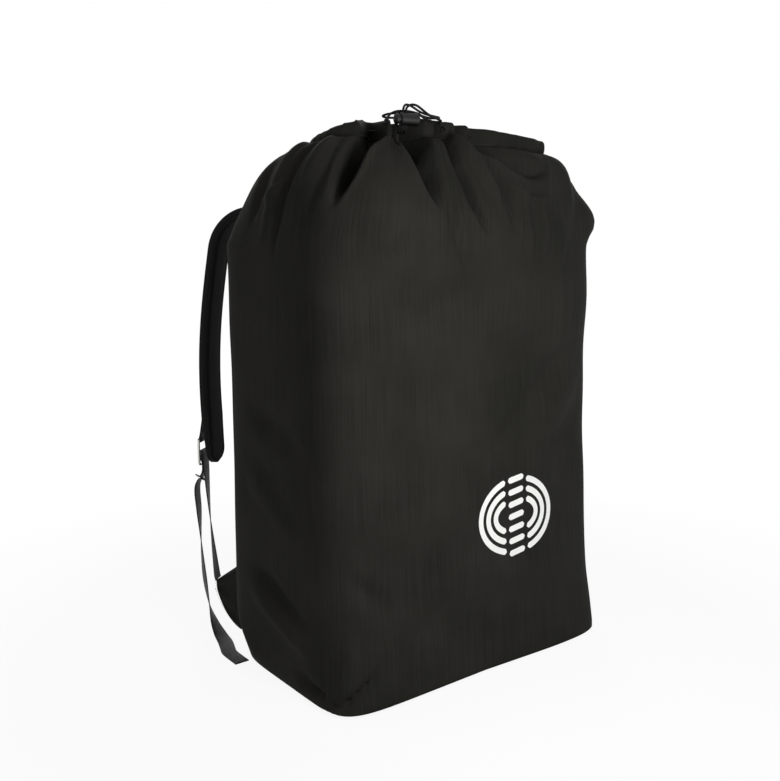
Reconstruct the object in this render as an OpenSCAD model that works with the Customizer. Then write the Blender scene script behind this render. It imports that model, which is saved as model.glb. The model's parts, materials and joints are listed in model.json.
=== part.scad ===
// Backpack rope bag with a drawcord mouth, two padded shoulder straps and their buckles.
// +Z is up, the straps are on the +Y side, and the origin is the middle of the base.

/* [Bag] */
// Width of the filled bag
body_w = 500; // [440:5:560]
// Depth of the filled bag, without the push of its contents
body_d = 282; // [240:2:320]
// Height to the top of the mouth hem
body_h = 742; // [700:2:800]
// How far below the top of the hem the shoulders start to close in
shoulder_drop = 152; // [130:2:190]
// How far the contents push the front out near the floor
front_bulge = 22; // [0:1:30]
// Radius of the bottom edge
bottom_r = 8; // [5:1:16]
// Thickness of the fabric wall
fabric_t = 2; // [1.6:0.1:3]

/* [Mouth] */
// Width of the gathered mouth
mouth_w = 340; // [280:5:380]
// Depth of the gathered mouth
mouth_d = 136; // [110:2:160]
// Depth of the gathers at the hem
gather = 4; // [0:0.5:6]
// Height of the drawcord hem
hem_h = 25; // [20:1:32]
// Thickness of one layer of the hem
hem_t = 1.5; // [1:0.1:2]
// Width of the tunnel inside the hem
tunnel_w = 6; // [5:0.5:9]
// Height of the buttonhole that the drawcord comes out of
buttonhole_h = 5; // [4.5:0.5:8]

/* [Drawcord and cord lock] */
// Diameter of the drawcord
cord_d = 3; // [2.5:0.1:3.5]
// Distance between the two strands in the cord lock
strand_gap = 4; // [4:0.1:5]
// Clearance round a strand in the cord lock
cord_play = 0.3; // [0.2:0.05:0.4]
// Diameter of the cord lock's barrel
lock_d = 16; // [15:0.5:20]
// Length of the cord lock's barrel
lock_l = 26; // [24:0.5:32]
// Diameter of the plunger
plunger_d = 10; // [9.5:0.1:11]
// How far the plunger is pressed to free the cord
press_travel = 3; // [2:0.5:4]
// Distance of the strands in front of the hem
lock_out = 10; // [9:0.5:12]

/* [Shoulder straps] */
// Width of a strap
strap_w = 62; // [55:1:75]
// Thickness of the padding
strap_t = 12; // [9:0.5:15]
// Distance of each strap's seam from the middle of the back
strap_x = 110; // [95:1:120]
// How far below the top of the hem the straps are sewn on
strap_sewn = 104; // [92:1:117]
// How far the tip of the padding stands off the strap's seam
strap_reach = 138; // [125:1:150]
// Length of the hanging part of the padding
strap_drop = 330; // [300:2:345]
// Radius of the arch at the top of a strap
arch_r = 66; // [55:1:75]
// How far the hanging part bows outwards
strap_bow = 13; // [8:1:20]
// Angle by which a strap splays to its side
splay = 40; // [25:1:45]
// Width of the edge binding
binding_w = 4; // [3:0.5:6]
// Thickness of the face fabric and of the mesh lining
facing_t = 1; // [0.8:0.1:1.5]

/* [Buckles and webbing] */
// Width of the webbing
web_w = 22; // [18:1:25]
// Thickness of the webbing
web_t = 1.5; // [1.2:0.1:1.8]
// Diameter of the buckle's wire
wire_d = 4; // [3.5:0.1:4.5]
// Distance between the buckle's bars
bar_pitch = 19; // [17:0.5:22]
// Room for the webbing on each side between the buckle's rails
rail_play = 1.5; // [1:0.1:3]
// How far the buckle stands off the face of the padding
buckle_out = 17; // [13:0.5:20]
// Distance of the buckle's top bar above the tip of the padding
buckle_rise = 34; // [28:1:42]
// How far the webbing wings reach behind the bag
wing_out = 78; // [60:1:84]
// Height of a wing along its seam
wing_h = 87; // [70:1:100]

/* [Haul loop] */
// Width of the haul loop's webbing
haul_w = 25; // [20:1:30]
// Length of the haul loop
haul_l = 105; // [90:1:120]
// Gap in the haul loop for a hand
haul_gap = 28; // [20:1:32]

/* [Hidden] */
$fn = 48;

// Clearance between pieces that move past each other
play = 0.3;

// ---- Bag shell ----
// The wall is a loft round the bag. Stations run anticlockwise from the front left corner.
LEFT = -1;
RIGHT = 1;
per_gather = 6;
front_n = 5 * per_gather;
side_n = 2 * per_gather;
round_n = 2 * (front_n + side_n);
hem_z = body_h - hem_h;
shoulder_z = body_h - shoulder_drop;
strap_z = body_h - strap_sewn;
hem_bite = 3;
mouth_shift = [20, -8];
lean = 7;
dome = 2.8;
// Rows of the shell, from the base to the hem
wing_z = [bottom_r + 28, bottom_r + 28 + wing_h];
ROWS = concat(
    [0, 0.3 * bottom_r, bottom_r, wing_z[0], wing_z[1]],
    [for (i = [1:3]) wing_z[1] + (shoulder_z - wing_z[1]) * i / 3],
    [shoulder_z + (strap_z - shoulder_z) / 2, strap_z],
    [for (s = [0.3, 0.55, 0.75, 0.9]) strap_z + (hem_z - strap_z) * s],
    [hem_z, hem_z + hem_bite]
);

// Share of the way from the shoulder to the hem
function closing(z) = min(1, max(0, (z - shoulder_z) / (hem_z - shoulder_z)));

// Half size of the loft at height z, between its body and its mouth
function half_size(body, mouth, fullness, z) =
    mouth + (body - mouth) * pow(max(0, 1 - pow(closing(z), fullness)), 1 / dome)
    - (z < bottom_r ? bottom_r - sqrt(pow(bottom_r, 2) - pow(bottom_r - max(0, z), 2)) : 0);

function low(z) = max(0, 1 - z / shoulder_z);
function half_w(side, z) = half_size(
    body_w / 2 + side * lean,
    mouth_w / 2 + side * mouth_shift.x,
    side == LEFT ? 1.35 : 2.4,
    z
);
function half_d(side, z) = half_size(
    body_d / 2,
    mouth_d / 2 + side * mouth_shift.y,
    side == LEFT ? 1.7 : 1.3,
    z
) + (side == LEFT ? front_bulge * pow(low(z), 1.6) : 0);

// How square the loft is: the back is flatter than the front
function squareness(side, z) =
    (side == LEFT ? 5.3 : 8) + pow(low(z), 4) - closing(z) * (side == LEFT ? 2.7 : 5.4);

// Place of station k on a square from -1 to 1
function station(k) = let (j = (k + round_n) % round_n)
    j < front_n ? [-1 + 2 * j / front_n, -1]
    : j < front_n + side_n ? [1, -1 + 2 * (j - front_n) / side_n]
    : j < 2 * front_n + side_n ? [1 - 2 * (j - front_n - side_n) / front_n, 1]
    : [-1, 1 - 2 * (j - 2 * front_n - side_n) / side_n];

function sgn(v) = v < 0 ? -1 : 1;

// Outward level direction of the loft at station k
function outward(k, z) =
    let (
        q = station(k),
        n = squareness(sgn(q.y), z),
        g = [
            sgn(q.x) * pow(abs(q.x), n - 1) / half_w(sgn(q.x), z),
            sgn(q.y) * pow(abs(q.y), n - 1) / half_d(sgn(q.y), z)
        ]
    ) g / norm(g);

// Outer face of the shell
function skin(k, z) =
    let (
        q = station(k),
        n = squareness(sgn(q.y), z),
        m = pow(pow(abs(q.x), n) + pow(abs(q.y), n), 1 / n),
        ripple = gather * pow(closing(z), 3) * cos(360 * k / per_gather),
        out = outward(k, z)
    ) [
        half_w(sgn(q.x), z) * q.x / m + ripple * out.x,
        half_d(sgn(q.y), z) * q.y / m + ripple * out.y,
        z
    ];

// Outward normal of the shell, level where the wall stands in the hem and down on the floor
function normal(k, z) =
    let (
        along = skin(k + 0.2, z) - skin(k - 0.2, z),
        up = skin(k, z + 0.2) - skin(k, z - 0.2),
        n = cross(along, up),
        level = outward(k, z)
    ) z <= 0 ? [0, 0, -1] : z >= hem_z ? [level.x, level.y, 0] : n / norm(n);

function quad(a, b, c, d) = [[a, b, c], [a, c, d]];

// Closed sheet from station k0 to k1 through the given rows, between two offsets from the skin
module sheet(k0, k1, rows, inner, outer) {
    m = len(rows);
    n = k1 - k0 + 1;
    points = [
        for (off = [outer, inner])
            for (z = rows)
                for (k = [k0:k1])
                    skin(k, z) + off * normal(k, z)
    ];
    function at(i, j) = i * n + j;
    function under(i, j) = m * n + i * n + j;
    faces = [
        for (i = [0:m - 2])
            for (j = [0:n - 2])
                each concat(
                    quad(at(i, j), at(i + 1, j), at(i + 1, j + 1), at(i, j + 1)),
                    quad(under(i, j), under(i, j + 1), under(i + 1, j + 1), under(i + 1, j))
                ),
        for (j = [0:n - 2])
            each concat(
                quad(at(0, j), at(0, j + 1), under(0, j + 1), under(0, j)),
                quad(at(m - 1, j + 1), at(m - 1, j), under(m - 1, j), under(m - 1, j + 1))
            ),
        for (i = [0:m - 2])
            each concat(
                quad(at(i, 0), under(i, 0), under(i + 1, 0), at(i + 1, 0)),
                quad(at(i, n - 1), at(i + 1, n - 1), under(i + 1, n - 1), under(i, n - 1))
            )
    ];
    polyhedron(points, faces, convexity = 10);
}

module panel(k0, k1) {
    sheet(k0, k1, ROWS, -fabric_t, 0);
}

module base_panel() {
    color("#1d1d1c")
        linear_extrude(fabric_t)
            polygon([for (k = [0:round_n - 1]) let (p = skin(k, 0)) [p.x, p.y]]);
}

module front_panel() {
    color("#262625")
        panel(0, front_n);
}

module side_panel_right() {
    color("#232322")
        panel(front_n, front_n + side_n);
}

module back_panel() {
    color("#262625")
        panel(front_n + side_n, 2 * front_n + side_n);
}

module side_panel_left() {
    color("#232322")
        panel(2 * front_n + side_n, round_n);
}

// ---- Mouth hem and drawcord ----
// The hem's folded strip stands astride the top of the wall and closes over the tunnel.
hem_mid = -fabric_t / 2;
hem_half = tunnel_w / 2 + hem_t;
hem_foot = fabric_t / 2 + hem_t;
HEM_SECTION = [
    [hem_foot, 0],
    [hem_half, 0.25 * hem_h],
    [hem_half, 0.75 * hem_h],
    [0, hem_h],
    [-hem_half, 0.75 * hem_h],
    [-hem_half, 0.25 * hem_h],
    [-hem_foot, 0],
    [-fabric_t / 2, 0],
    [-fabric_t / 2, hem_bite],
    [-tunnel_w / 2, 0.25 * hem_h + hem_t / 2],
    [-tunnel_w / 2, 0.75 * hem_h - hem_t / 2],
    [0, hem_h - 1.5 * hem_t],
    [tunnel_w / 2, 0.75 * hem_h - hem_t / 2],
    [tunnel_w / 2, 0.25 * hem_h + hem_t / 2],
    [fabric_t / 2, hem_bite],
    [fabric_t / 2, 0]
];

// Point at station k in the hem, off its middle surface and above its foot
function in_hem(k, off, rise) =
    let (p = skin(k, hem_z), out = outward(k, hem_z))
    [p.x + (hem_mid + off) * out.x, p.y + (hem_mid + off) * out.y, hem_z + rise];

// Station of the buttonhole, the place of its strands and the direction that they leave in
lace_k = 6;
LACE = in_hem(lace_k, 0, hem_h / 2);
LACE_OUT = outward(lace_k, hem_z);
lace_turn = atan2(LACE_OUT.y, LACE_OUT.x) + 90;

module mouth_hem() {
    m = len(HEM_SECTION);
    points = [
        for (k = [0:round_n - 1])
            for (s = HEM_SECTION)
                in_hem(k, s.x, s.y)
    ];
    faces = [
        for (k = [0:round_n - 1])
            for (i = [0:m - 1])
                let (
                    a = k * m + i,
                    b = k * m + (i + 1) % m,
                    next = ((k + 1) % round_n) * m
                )
                each quad(a, b, next + (i + 1) % m, next + i)
    ];
    color("#262625")
        difference() {
            polyhedron(points, faces, convexity = 10);
            translate(LACE)
                rotate([0, 0, lace_turn])
                    buttonhole();
        }
}

// Cutter of the buttonhole, from the tunnel out through the front layer
module buttonhole() {
    half = (strand_gap + cord_d) / 2 + cord_play - buttonhole_h / 2 + 0.5;
    rotate([90, 0, 0]) {
        for (side = [LEFT, RIGHT])
            translate([side * half, 0, 0])
                cylinder(d = buttonhole_h, h = 2 * hem_half);
        translate([-half, -buttonhole_h / 2, 0])
            cube([2 * half, buttonhole_h, 2 * hem_half]);
    }
}

// Closed tube of diameter d through the points of a path
function unit(v) = v / norm(v);
function heading(path, i) =
    unit(path[min(i + 1, len(path) - 1)] - path[max(i - 1, 0)]);
// Side directions carried along the path without twist
function frames(path, i = 0, last = [0.13, 0.21, 1]) =
    i >= len(path) ? []
    : let (t = heading(path, i), s = unit(last - (last * t) * t))
        concat([s], frames(path, i + 1, s));

module tube(path, d, sides = 8) {
    side_dirs = frames(path);
    n = len(path);
    points = [
        for (i = [0:n - 1])
            let (t = heading(path, i), u = side_dirs[i], v = cross(t, u))
            for (j = [0:sides - 1])
                let (a = 360 * j / sides)
                path[i] + d / 2 * (cos(a) * u + sin(a) * v)
    ];
    faces = concat(
        [[for (j = [0:sides - 1]) j]],
        [
            for (i = [0:n - 2])
                for (j = [0:sides - 1])
                    let (a = i * sides + j, b = i * sides + (j + 1) % sides)
                    each quad(a, a + sides, b + sides, b)
        ],
        [[for (j = [sides - 1:-1:0]) (n - 1) * sides + j]]
    );
    polyhedron(points, faces, convexity = 10);
}

// Centre of the cord lock: the strands pass up through it in front of the hem
LOCK = [
    LACE.x + lock_out * LACE_OUT.x,
    LACE.y + lock_out * LACE_OUT.y,
    body_h + 3
];
strand_end = lock_d / 2 + 1;

// One strand from the tunnel through the buttonhole and up through the cord lock
function strand(side) = [
    for (p = [
        [side * 6, 1, 0],
        [side * 3, -0.8, 0],
        [side * strand_gap / 2, -4.5, 0.5],
        [side * strand_gap / 2, 1.5 - lock_out, 2.5],
        [side * strand_gap / 2, -lock_out, 6]
    ])
        LACE + [
            p.x * cos(lace_turn) - p.y * sin(lace_turn),
            p.x * sin(lace_turn) + p.y * cos(lace_turn),
            p.z
        ],
    for (rise = [-lock_d / 2 - 1, 0, strand_end])
        LOCK + [side * strand_gap / 2 * cos(lace_turn), side * strand_gap / 2 * sin(lace_turn), rise]
];
function reversed(v) = [for (i = [len(v) - 1:-1:0]) v[i]];

module drawcord() {
    inside = [for (k = [lace_k + 1.2:1:lace_k + round_n - 1.2]) in_hem(k, 0, hem_h / 2)];
    color("#3a3a38")
        tube(concat(reversed(strand(RIGHT)), inside, strand(LEFT)), cord_d);
}

// Routes of the free tails from the top of the cord lock, which lie in loops along the hem
TAIL_LEFT = [
    [0, 0, 0], [0, 0, 2.5], [3, 4, 5.5], [10, 6, 5], [20, 6, 3], [32, 5, 0.5], [44, 5, -1.5], [54, 6, -3],
    [60, 8, -3.5], [62, 11, -3], [58, 14, -2.5], [46, 14, -1.5], [34, 13, -0.5], [22, 13, 0], [8, 13, 0],
    [-4, 12, -1], [-13, 10, -2],
    [-17, 13, -3], [-13, 17, -4], [0, 18, -5], [16, 17, -5], [32, 17, -5], [46, 18, -5.5], [57, 17, -6.5],
    [65, 15, -7.5], [69, 12, -9], [70, 9, -12], [69, 6, -16]
];
TAIL_RIGHT = [
    [0, 0, 0], [0, 0, 2.5], [5, -3, 4], [13, -4, 3], [23, -4, 0], [34, -3, -3], [44, -3, -5.5], [51, -3, -7],
    [55, -1, -9], [51, 1, -9], [42, 1, -7], [34, 1, -4.5], [25, 1, -1], [16, 2, 1], [8, 3, 1.5],
    [-2, 5, 1.5], [-12, 5, 1.5], [-20, 4, -1], [-27, 2, -5], [-31, -1, -10]
];

// Place a piece in the cord lock, which lies along the hem
module in_lock() {
    translate(LOCK)
        rotate([0, 0, lace_turn])
            children();
}

module drawcord_tail(side, route) {
    color("#3a3a38")
        in_lock()
            translate([side * strand_gap / 2, 0, strand_end])
                tube(route, cord_d);
}

module drawcord_tail_left() {
    drawcord_tail(LEFT, TAIL_LEFT);
}

module drawcord_tail_right() {
    drawcord_tail(RIGHT, TAIL_RIGHT);
}

// ---- Cord lock ----
// The barrel's axis is X in its own frame. The plunger enters from the left and a spring pushes it out.
lock_wall = (lock_d - plunger_d) / 2 - play / 2;
hole_w = cord_d + 2 * cord_play;
hole_l = strand_gap + hole_w;
plunger_end = hole_l / 2 + 1.5;
// The barrel's closed end is far enough from the strands for the spring
lock_x0 = -hole_l / 2 - lock_wall;
lock_x1 = lock_x0 + lock_l;
bore_end = lock_x1 - lock_wall;

// Upright slot for the two strands, with extra length on its left for the pressed plunger
module strand_slot(extra) {
    translate([0, 0, -lock_d]) {
        for (x = [-strand_gap / 2 - extra, strand_gap / 2])
            translate([x, 0, 0])
                cylinder(d = hole_w, h = 2 * lock_d);
        translate([-strand_gap / 2 - extra, -hole_w / 2, 0])
            cube([strand_gap + extra, hole_w, 2 * lock_d]);
    }
}

module cord_lock_barrel() {
    color("#141414")
        in_lock()
            difference() {
                rotate([0, 90, 0])
                    rotate_extrude()
                        difference() {
                            polygon([
                                [0, lock_x0], [lock_d / 2 - 1, lock_x0], [lock_d / 2, lock_x0 + 1],
                                [lock_d / 2, lock_x1 - 2], [lock_d / 2 - 2, lock_x1], [0, lock_x1]
                            ]);
                            translate([-1, lock_x0 - 1])
                                square([plunger_d / 2 + play / 2 + 1, bore_end - lock_x0 + 1]);
                        }
                strand_slot(0);
            }
}

module cord_lock_plunger() {
    cap_r = lock_d / 2 - 1;
    face_x = lock_x0 - press_travel - play;
    color("#1f1f1f")
        in_lock()
            difference() {
                rotate([0, 90, 0])
                    rotate_extrude()
                        polygon(concat(
                            [[0, plunger_end], [plunger_d / 2 - 0.5, plunger_end]],
                            [[plunger_d / 2, plunger_end - 0.5], [plunger_d / 2, face_x], [cap_r, face_x]],
                            [for (a = [0:15:90]) [cap_r * cos(a), face_x - 1.5 - 3.5 * sin(a)]]
                        ));
                strand_slot(press_travel);
            }
}

module cord_lock_spring() {
    turns = 4;
    coil_r = plunger_d / 2 - 1.4;
    x0 = plunger_end + 0.7;
    x1 = bore_end - 0.7;
    color("silver")
        in_lock()
            tube(
                [
                    for (a = [0:30:360 * turns])
                        [x0 + (x1 - x0) * a / (360 * turns), coil_r * cos(a), coil_r * sin(a)]
                ],
                0.8,
                6
            );
}

// ---- Back: strap anchor, haul loop and wings ----
anchor_t = 2.5;
anchor_k = [front_n + side_n + 5, 2 * front_n + side_n - 5];

// Reinforcing strip that the straps and the haul loop are sewn into
module strap_anchor() {
    rows = [for (z = ROWS) if (z >= shoulder_z && z <= strap_z + 0.35 * (hem_z - strap_z)) z];
    color("#1a1a19")
        sheet(anchor_k[0], anchor_k[1], rows, 0, anchor_t);
}

// Seat of a seam on the back at height z, off the strip's face
function seam_y(x, z) =
    let (
        n = squareness(RIGHT, z),
        tilt = normal(2 * front_n + side_n - front_n / 2, z)
    )
    half_d(RIGHT, z) * pow(1 - pow(abs(x) / half_w(sgn(x), z), n), 1 / n) + anchor_t / tilt.y;

// Band of thickness t along a path in a plane, between its two offset lines
function level(path, i) =
    let (h = heading(path, i)) [-h.y, h.x];
function band(path, t0, t1) = concat(
    [for (i = [0:len(path) - 1]) path[i] + t1[i] * level(path, i)],
    [for (i = [len(path) - 1:-1:0]) path[i] + t0[i] * level(path, i)]
);
function arc(c, r, a0, a1, n) = [for (i = [0:n]) let (a = a0 + (a1 - a0) * i / n) c + r * [cos(a), sin(a)]];

haul_t = 2.5;
haul_root = seam_y(0, strap_z) + haul_t + play;
haul_lean = 14;

// Middle line of the loop: down its bowed outer side, round the bottom and up its flat back
haul_bow = (haul_gap + haul_t) / 2;
haul_sewn = 6;
HAUL = concat(
    [
        for (i = [0:8])
            let (s = i / 8)
            [
                haul_t / 2 + haul_gap * (1 - cos(180 * s)) / 2,
                -haul_sewn - (haul_l - haul_bow - haul_sewn) * s
            ]
    ],
    arc([haul_bow - haul_t / 2, haul_bow - haul_l], haul_bow, -15, -180, 11),
    [[-haul_t / 2, -haul_sewn]]
);

// The loop hangs from its seam, where both ends of the webbing are sewn one on the other
module haul_loop() {
    n = len(HAUL);
    outside = [for (i = [0:n - 1]) HAUL[i] + haul_t / 2 * level(HAUL, i)];
    inside = [for (i = [1:n - 2]) HAUL[i] - haul_t / 2 * level(HAUL, i)];
    color("#2b2b2b")
        translate([0, haul_root, strap_z])
            rotate([haul_lean, 0, 0])
                rotate([90, 0, 90])
                    linear_extrude(haul_w, center = true)
                        difference() {
                            polygon(concat(arc([0, 0], haul_t, 180, 0, 12), outside));
                            polygon(concat([[0, -2 * haul_sewn]], inside));
                        }
}

// Middle of a strap's seam and the direction that the strap stands off in
seam_t = 3;
function strap_seam(side) =
    [side * strap_x, seam_y(side * strap_x, strap_z) + seam_t / 2 + play, strap_z];
function strap_out(side) = [side * sin(splay), cos(splay), 0];

// Wing: a folded gusset on the bottom corner seam that holds the end of the webbing
wing_t = 3;
wing_top = wing_z[1] - 40;
function wing_seam(side, z) = skin(side == LEFT ? 2 * front_n + side_n : front_n + side_n, z);
function wing_tip(side) =
    [wing_seam(side, wing_z[0]).x, wing_seam(side, wing_z[0]).y + wing_out, wing_top - 7];
function wing_head(side) = wing_seam(side, wing_z[1]) + [0, wing_t / 2 + play, 0];
// Direction of the webbing's width along the wing's edge, and the direction that it leaves in
function web_edge(side) =
    let (d = wing_tip(side) - wing_head(side))
    unit([0, d.y, d.z]);
function web_leave(side) = [0, -web_edge(side).z, web_edge(side).y];

module wing(side) {
    tip = wing_tip(side);
    color("#242423")
        hull()
            for (p = [
                wing_seam(side, wing_z[0]) + [0, wing_t / 2 + play, 0],
                wing_head(side),
                tip,
                tip - [0, 2, 14]
            ])
                translate(p - [wing_t / 2, 0, 0])
                    cube([wing_t, 0.01, 0.01]);
}

module wing_left() {
    wing(LEFT);
}

module wing_right() {
    wing(RIGHT);
}

// ---- Shoulder straps ----
// A strap is drawn in its own plane: x stands off the seam and y is the height over it.
root_flat = 6;
root_l = strap_w / 2 * tan(splay) + root_flat;
tip_t = 6;
// The padding thins over this length, which ends this far above its tip
thin_l = 55;
thin_end = 15;
arch_start = 81;
arch_end = 11;
// How far the tip stands out past the foot of the arch
tip_out = 14;
hang_x = strap_reach - tip_out;
hang_y = arch_r * (sin(arch_end) - 1);
arch_side = hang_x - arch_r * cos(arch_end);
foot_y = hang_y - strap_drop;
// Point of the hanging part, from its arch at 0 to its tip at 1
function hanging(s) = [
    hang_x + (strap_reach - hang_x) * s + strap_bow * sin(180 * s),
    hang_y - strap_drop * s
];
hang_n = 10;
ARCH = concat(
    [for (i = [0:2]) [root_l + (arch_side - root_l) * i / 2, 0]],
    arc([arch_side, -arch_r], arch_r, arch_start, arch_end, 7),
    [for (i = [1:hang_n]) hanging(i / hang_n)]
);
// The padding thins towards its tip
function pad_half(p) =
    let (thin = max(0, min(1, (foot_y + thin_end + thin_l - p.y) / thin_l)))
    strap_t / 2 - (strap_t - tip_t) / 2 * thin;
PAD = [for (p = ARCH) pad_half(p)];
function scaled(v, offset) = [for (h = v) h + offset];
function negative(v) = [for (h = v) -h];

// Place a strap: its plane stands on the seam and splays to the strap's side
module on_strap(side) {
    translate(strap_seam(side))
        rotate([0, 0, 90 - side * splay])
            rotate([90, 0, 0])
                children();
}

// Front view of the padding, with a rounded tip, less a margin all round
module pad_outline(margin) {
    r = strap_w / 2 - margin;
    tip_y = foot_y + margin;
    union() {
        translate([-r, tip_y + 0.6 * r])
            square([2 * r, -tip_y + strap_t]);
        intersection() {
            translate([0, tip_y + 0.6 * r])
                scale([1, 0.6])
                    circle(r = r);
            translate([-r, tip_y - 1])
                square([2 * r, 2 * r]);
        }
    }
}

// A layer of the padding between two offsets, trimmed to the outline
module pad_layer(side, from, to, margin) {
    on_strap(side)
        intersection() {
            linear_extrude(strap_w + 2, center = true)
                polygon(band(ARCH, from, to));
            rotate([0, 90, 0])
                linear_extrude(strap_reach + strap_t)
                    pad_outline(margin);
        }
}

module strap_foam(side) {
    color("#2e2e2d")
        pad_layer(side, scaled(negative(PAD), facing_t), scaled(PAD, -facing_t), binding_w);
}

module strap_cover(side) {
    color("#0f0e0e")
        pad_layer(side, scaled(PAD, -facing_t), PAD, binding_w);
}

module strap_lining(side) {
    color("#1b1b1b")
        pad_layer(side, negative(PAD), scaled(negative(PAD), facing_t), binding_w);
}

// Edge binding: the rim of the outline, a little proud of both faces
module strap_binding(side) {
    proud = 0.5;
    color("#161616")
        on_strap(side)
            intersection() {
                linear_extrude(strap_w + 2, center = true)
                    polygon(band(ARCH, scaled(negative(PAD), -proud), scaled(PAD, proud)));
                rotate([0, 90, 0])
                    linear_extrude(strap_reach + strap_t)
                        difference() {
                            pad_outline(0);
                            pad_outline(binding_w);
                        }
            }
}

// Root of a strap: the flat sewn end that grows into the padding
module strap_root(side) {
    color("#0f0e0e")
        hull() {
            on_strap(side)
                translate([root_l - 0.01, -strap_t / 2, -strap_w / 2])
                    cube([0.01, strap_t, strap_w]);
            translate(strap_seam(side) - [strap_w / 2, 0, 0])
                rotate([0, 90, 0])
                    cylinder(d = seam_t, h = strap_w, $fn = 32);
        }
}

// Tab: doubled webbing on the face of the padding that loops round the buckle's top bar
BAR = [strap_reach + strap_t / 2 + buckle_out, foot_y + buckle_rise];
loop_r = wire_d / 2 + play / 2;
// Middle of the doubled webbing where it lies on the padding at share s of the hanging part
function tab_seat(s) = hanging(s) + [pad_half(hanging(s)) + web_t, 0];

module strap_tab(side) {
    eye_r = loop_r + web_t;
    neck = [-3, 16];
    path = [tab_seat(6 / hang_n), tab_seat(7 / hang_n), BAR + neck];
    toward = atan2(neck.y, neck.x);
    half = asin(web_t / eye_r);
    color("#1c1c1c")
        on_strap(side)
            linear_extrude(web_w, center = true)
                difference() {
                    polygon(concat(
                        [for (i = [0:len(path) - 1]) path[i] + web_t * level(path, i)],
                        arc(BAR, eye_r, toward - half, toward + half - 360, 20),
                        [for (i = [len(path) - 1:-1:0]) path[i] - web_t * level(path, i)]
                    ));
                    translate(BAR)
                        circle(r = loop_r);
                }
}

// Three-bar slide buckle bent from wire
buckle_w = web_w + 2 * rail_play + wire_d;

module buckle(side) {
    color("silver")
        on_strap(side)
            translate([BAR.x, BAR.y, 0]) {
                for (i = [0:2])
                    translate([0, -i * bar_pitch, 0])
                        cylinder(d = wire_d, h = buckle_w, center = true);
                for (z = [-buckle_w / 2, buckle_w / 2]) {
                    translate([0, 0, z])
                        rotate([90, 0, 0])
                            cylinder(d = wire_d, h = 2 * bar_pitch);
                    for (i = [0, 2])
                        translate([0, -i * bar_pitch, z])
                            sphere(d = wire_d);
                }
            }
}

module strap_foam_left() {
    strap_foam(LEFT);
}

module strap_foam_right() {
    strap_foam(RIGHT);
}

module strap_cover_left() {
    strap_cover(LEFT);
}

module strap_cover_right() {
    strap_cover(RIGHT);
}

module strap_lining_left() {
    strap_lining(LEFT);
}

module strap_lining_right() {
    strap_lining(RIGHT);
}

module strap_binding_left() {
    strap_binding(LEFT);
}

module strap_binding_right() {
    strap_binding(RIGHT);
}

module strap_root_left() {
    strap_root(LEFT);
}

module strap_root_right() {
    strap_root(RIGHT);
}

module strap_tab_left() {
    strap_tab(LEFT);
}

module strap_tab_right() {
    strap_tab(RIGHT);
}

module buckle_left() {
    buckle(LEFT);
}

module buckle_right() {
    buckle(RIGHT);
}

// ---- Adjuster webbing ----
// From the wing up behind the buckle, over its middle bar, back behind its bottom bar and down.
wrap_r = wire_d / 2 + play + web_t / 2;
layer = web_t + 0.4;

// Place in the bag of a point in a strap's plane
function from_strap(side, p) =
    strap_seam(side) + p.x * strap_out(side) + [0, 0, p.y];

// Path of the webbing, each with its width direction
function webbing_path(side) =
    let (
        across = [cos(splay), -side * sin(splay), 0],
        tip = wing_tip(side),
        edge = web_edge(side),
        start = tip - web_w / 2 * edge + 0.2 * web_leave(side),
        clear = start + 6 * web_leave(side),
        mid = BAR - [0, bar_pitch],
        low = BAR - [0, 2 * bar_pitch],
        behind = from_strap(side, low + [-wrap_r - layer, -2])
    )
    concat(
        [[start, edge]],
        [
            for (s = [0:0.125:1])
                [clear + s * (behind - clear) + [0, 4 * sin(180 * s), 0], unit((1 - s) * edge + s * across)]
        ],
        [for (p = concat(
            [low + [-wrap_r - layer, 6]],
            arc(mid, wrap_r, 180, 0, 8),
            [mid + [wrap_r - 0.6, -bar_pitch / 3], mid + [-0.4, -bar_pitch * 0.62]],
            [low + [-wrap_r, 3], low + [-wrap_r, -3], low + [-wrap_r + 1.5, -14]]
        )) [from_strap(side, p), across]],
        [
            for (i = [0:len(TAIL_ROUTE) - 1])
                let (
                    p = TAIL_ROUTE[i][0],
                    w = TAIL_ROUTE[i][1],
                    low_part = min(1, i / 4),
                    shift = low_part * (abs(tip.x) - route_x),
                    lift = (1 - low_part) * (strap_z - route_z)
                )
                [[side * (p.x + shift), p.y, p.z + lift], unit([side * w.x, w.y, w.z])]
        ]
    );

// Route of the hanging tail down past the wing and forward along the floor, with the width
// direction at each point, for a wing that stands at route_x and strap seams at route_z
route_x = 224.5;
route_z = 638;
TAIL_ROUTE = [
    [[223, 262, 215], [0.75, -0.66, 0]],
    [[226, 254, 180], [0.7, -0.7, 0]],
    [[230, 243, 145], [0.5, -0.87, 0]],
    [[234, 231, 110], [0.3, -0.95, 0]],
    [[237, 218, 75], [0.2, -0.98, 0]],
    [[239, 202, 43], [0.4, -0.8, 0.4]],
    [[239, 186, 20], [0.8, -0.4, 0.4]],
    [[239, 168, 6], [1, 0, 0.2]],
    [[241, 150, 1], [1, 0.1, 0]],
    [[247, 132, 0.8], [1, 0.2, 0]],
    [[253, 114, 0.8], [1, 0.1, 0]],
    [[254, 94, 0.8], [1, 0, 0]],
    [[254, 74, 0.8], [1, 0, 0]]
];

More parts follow.
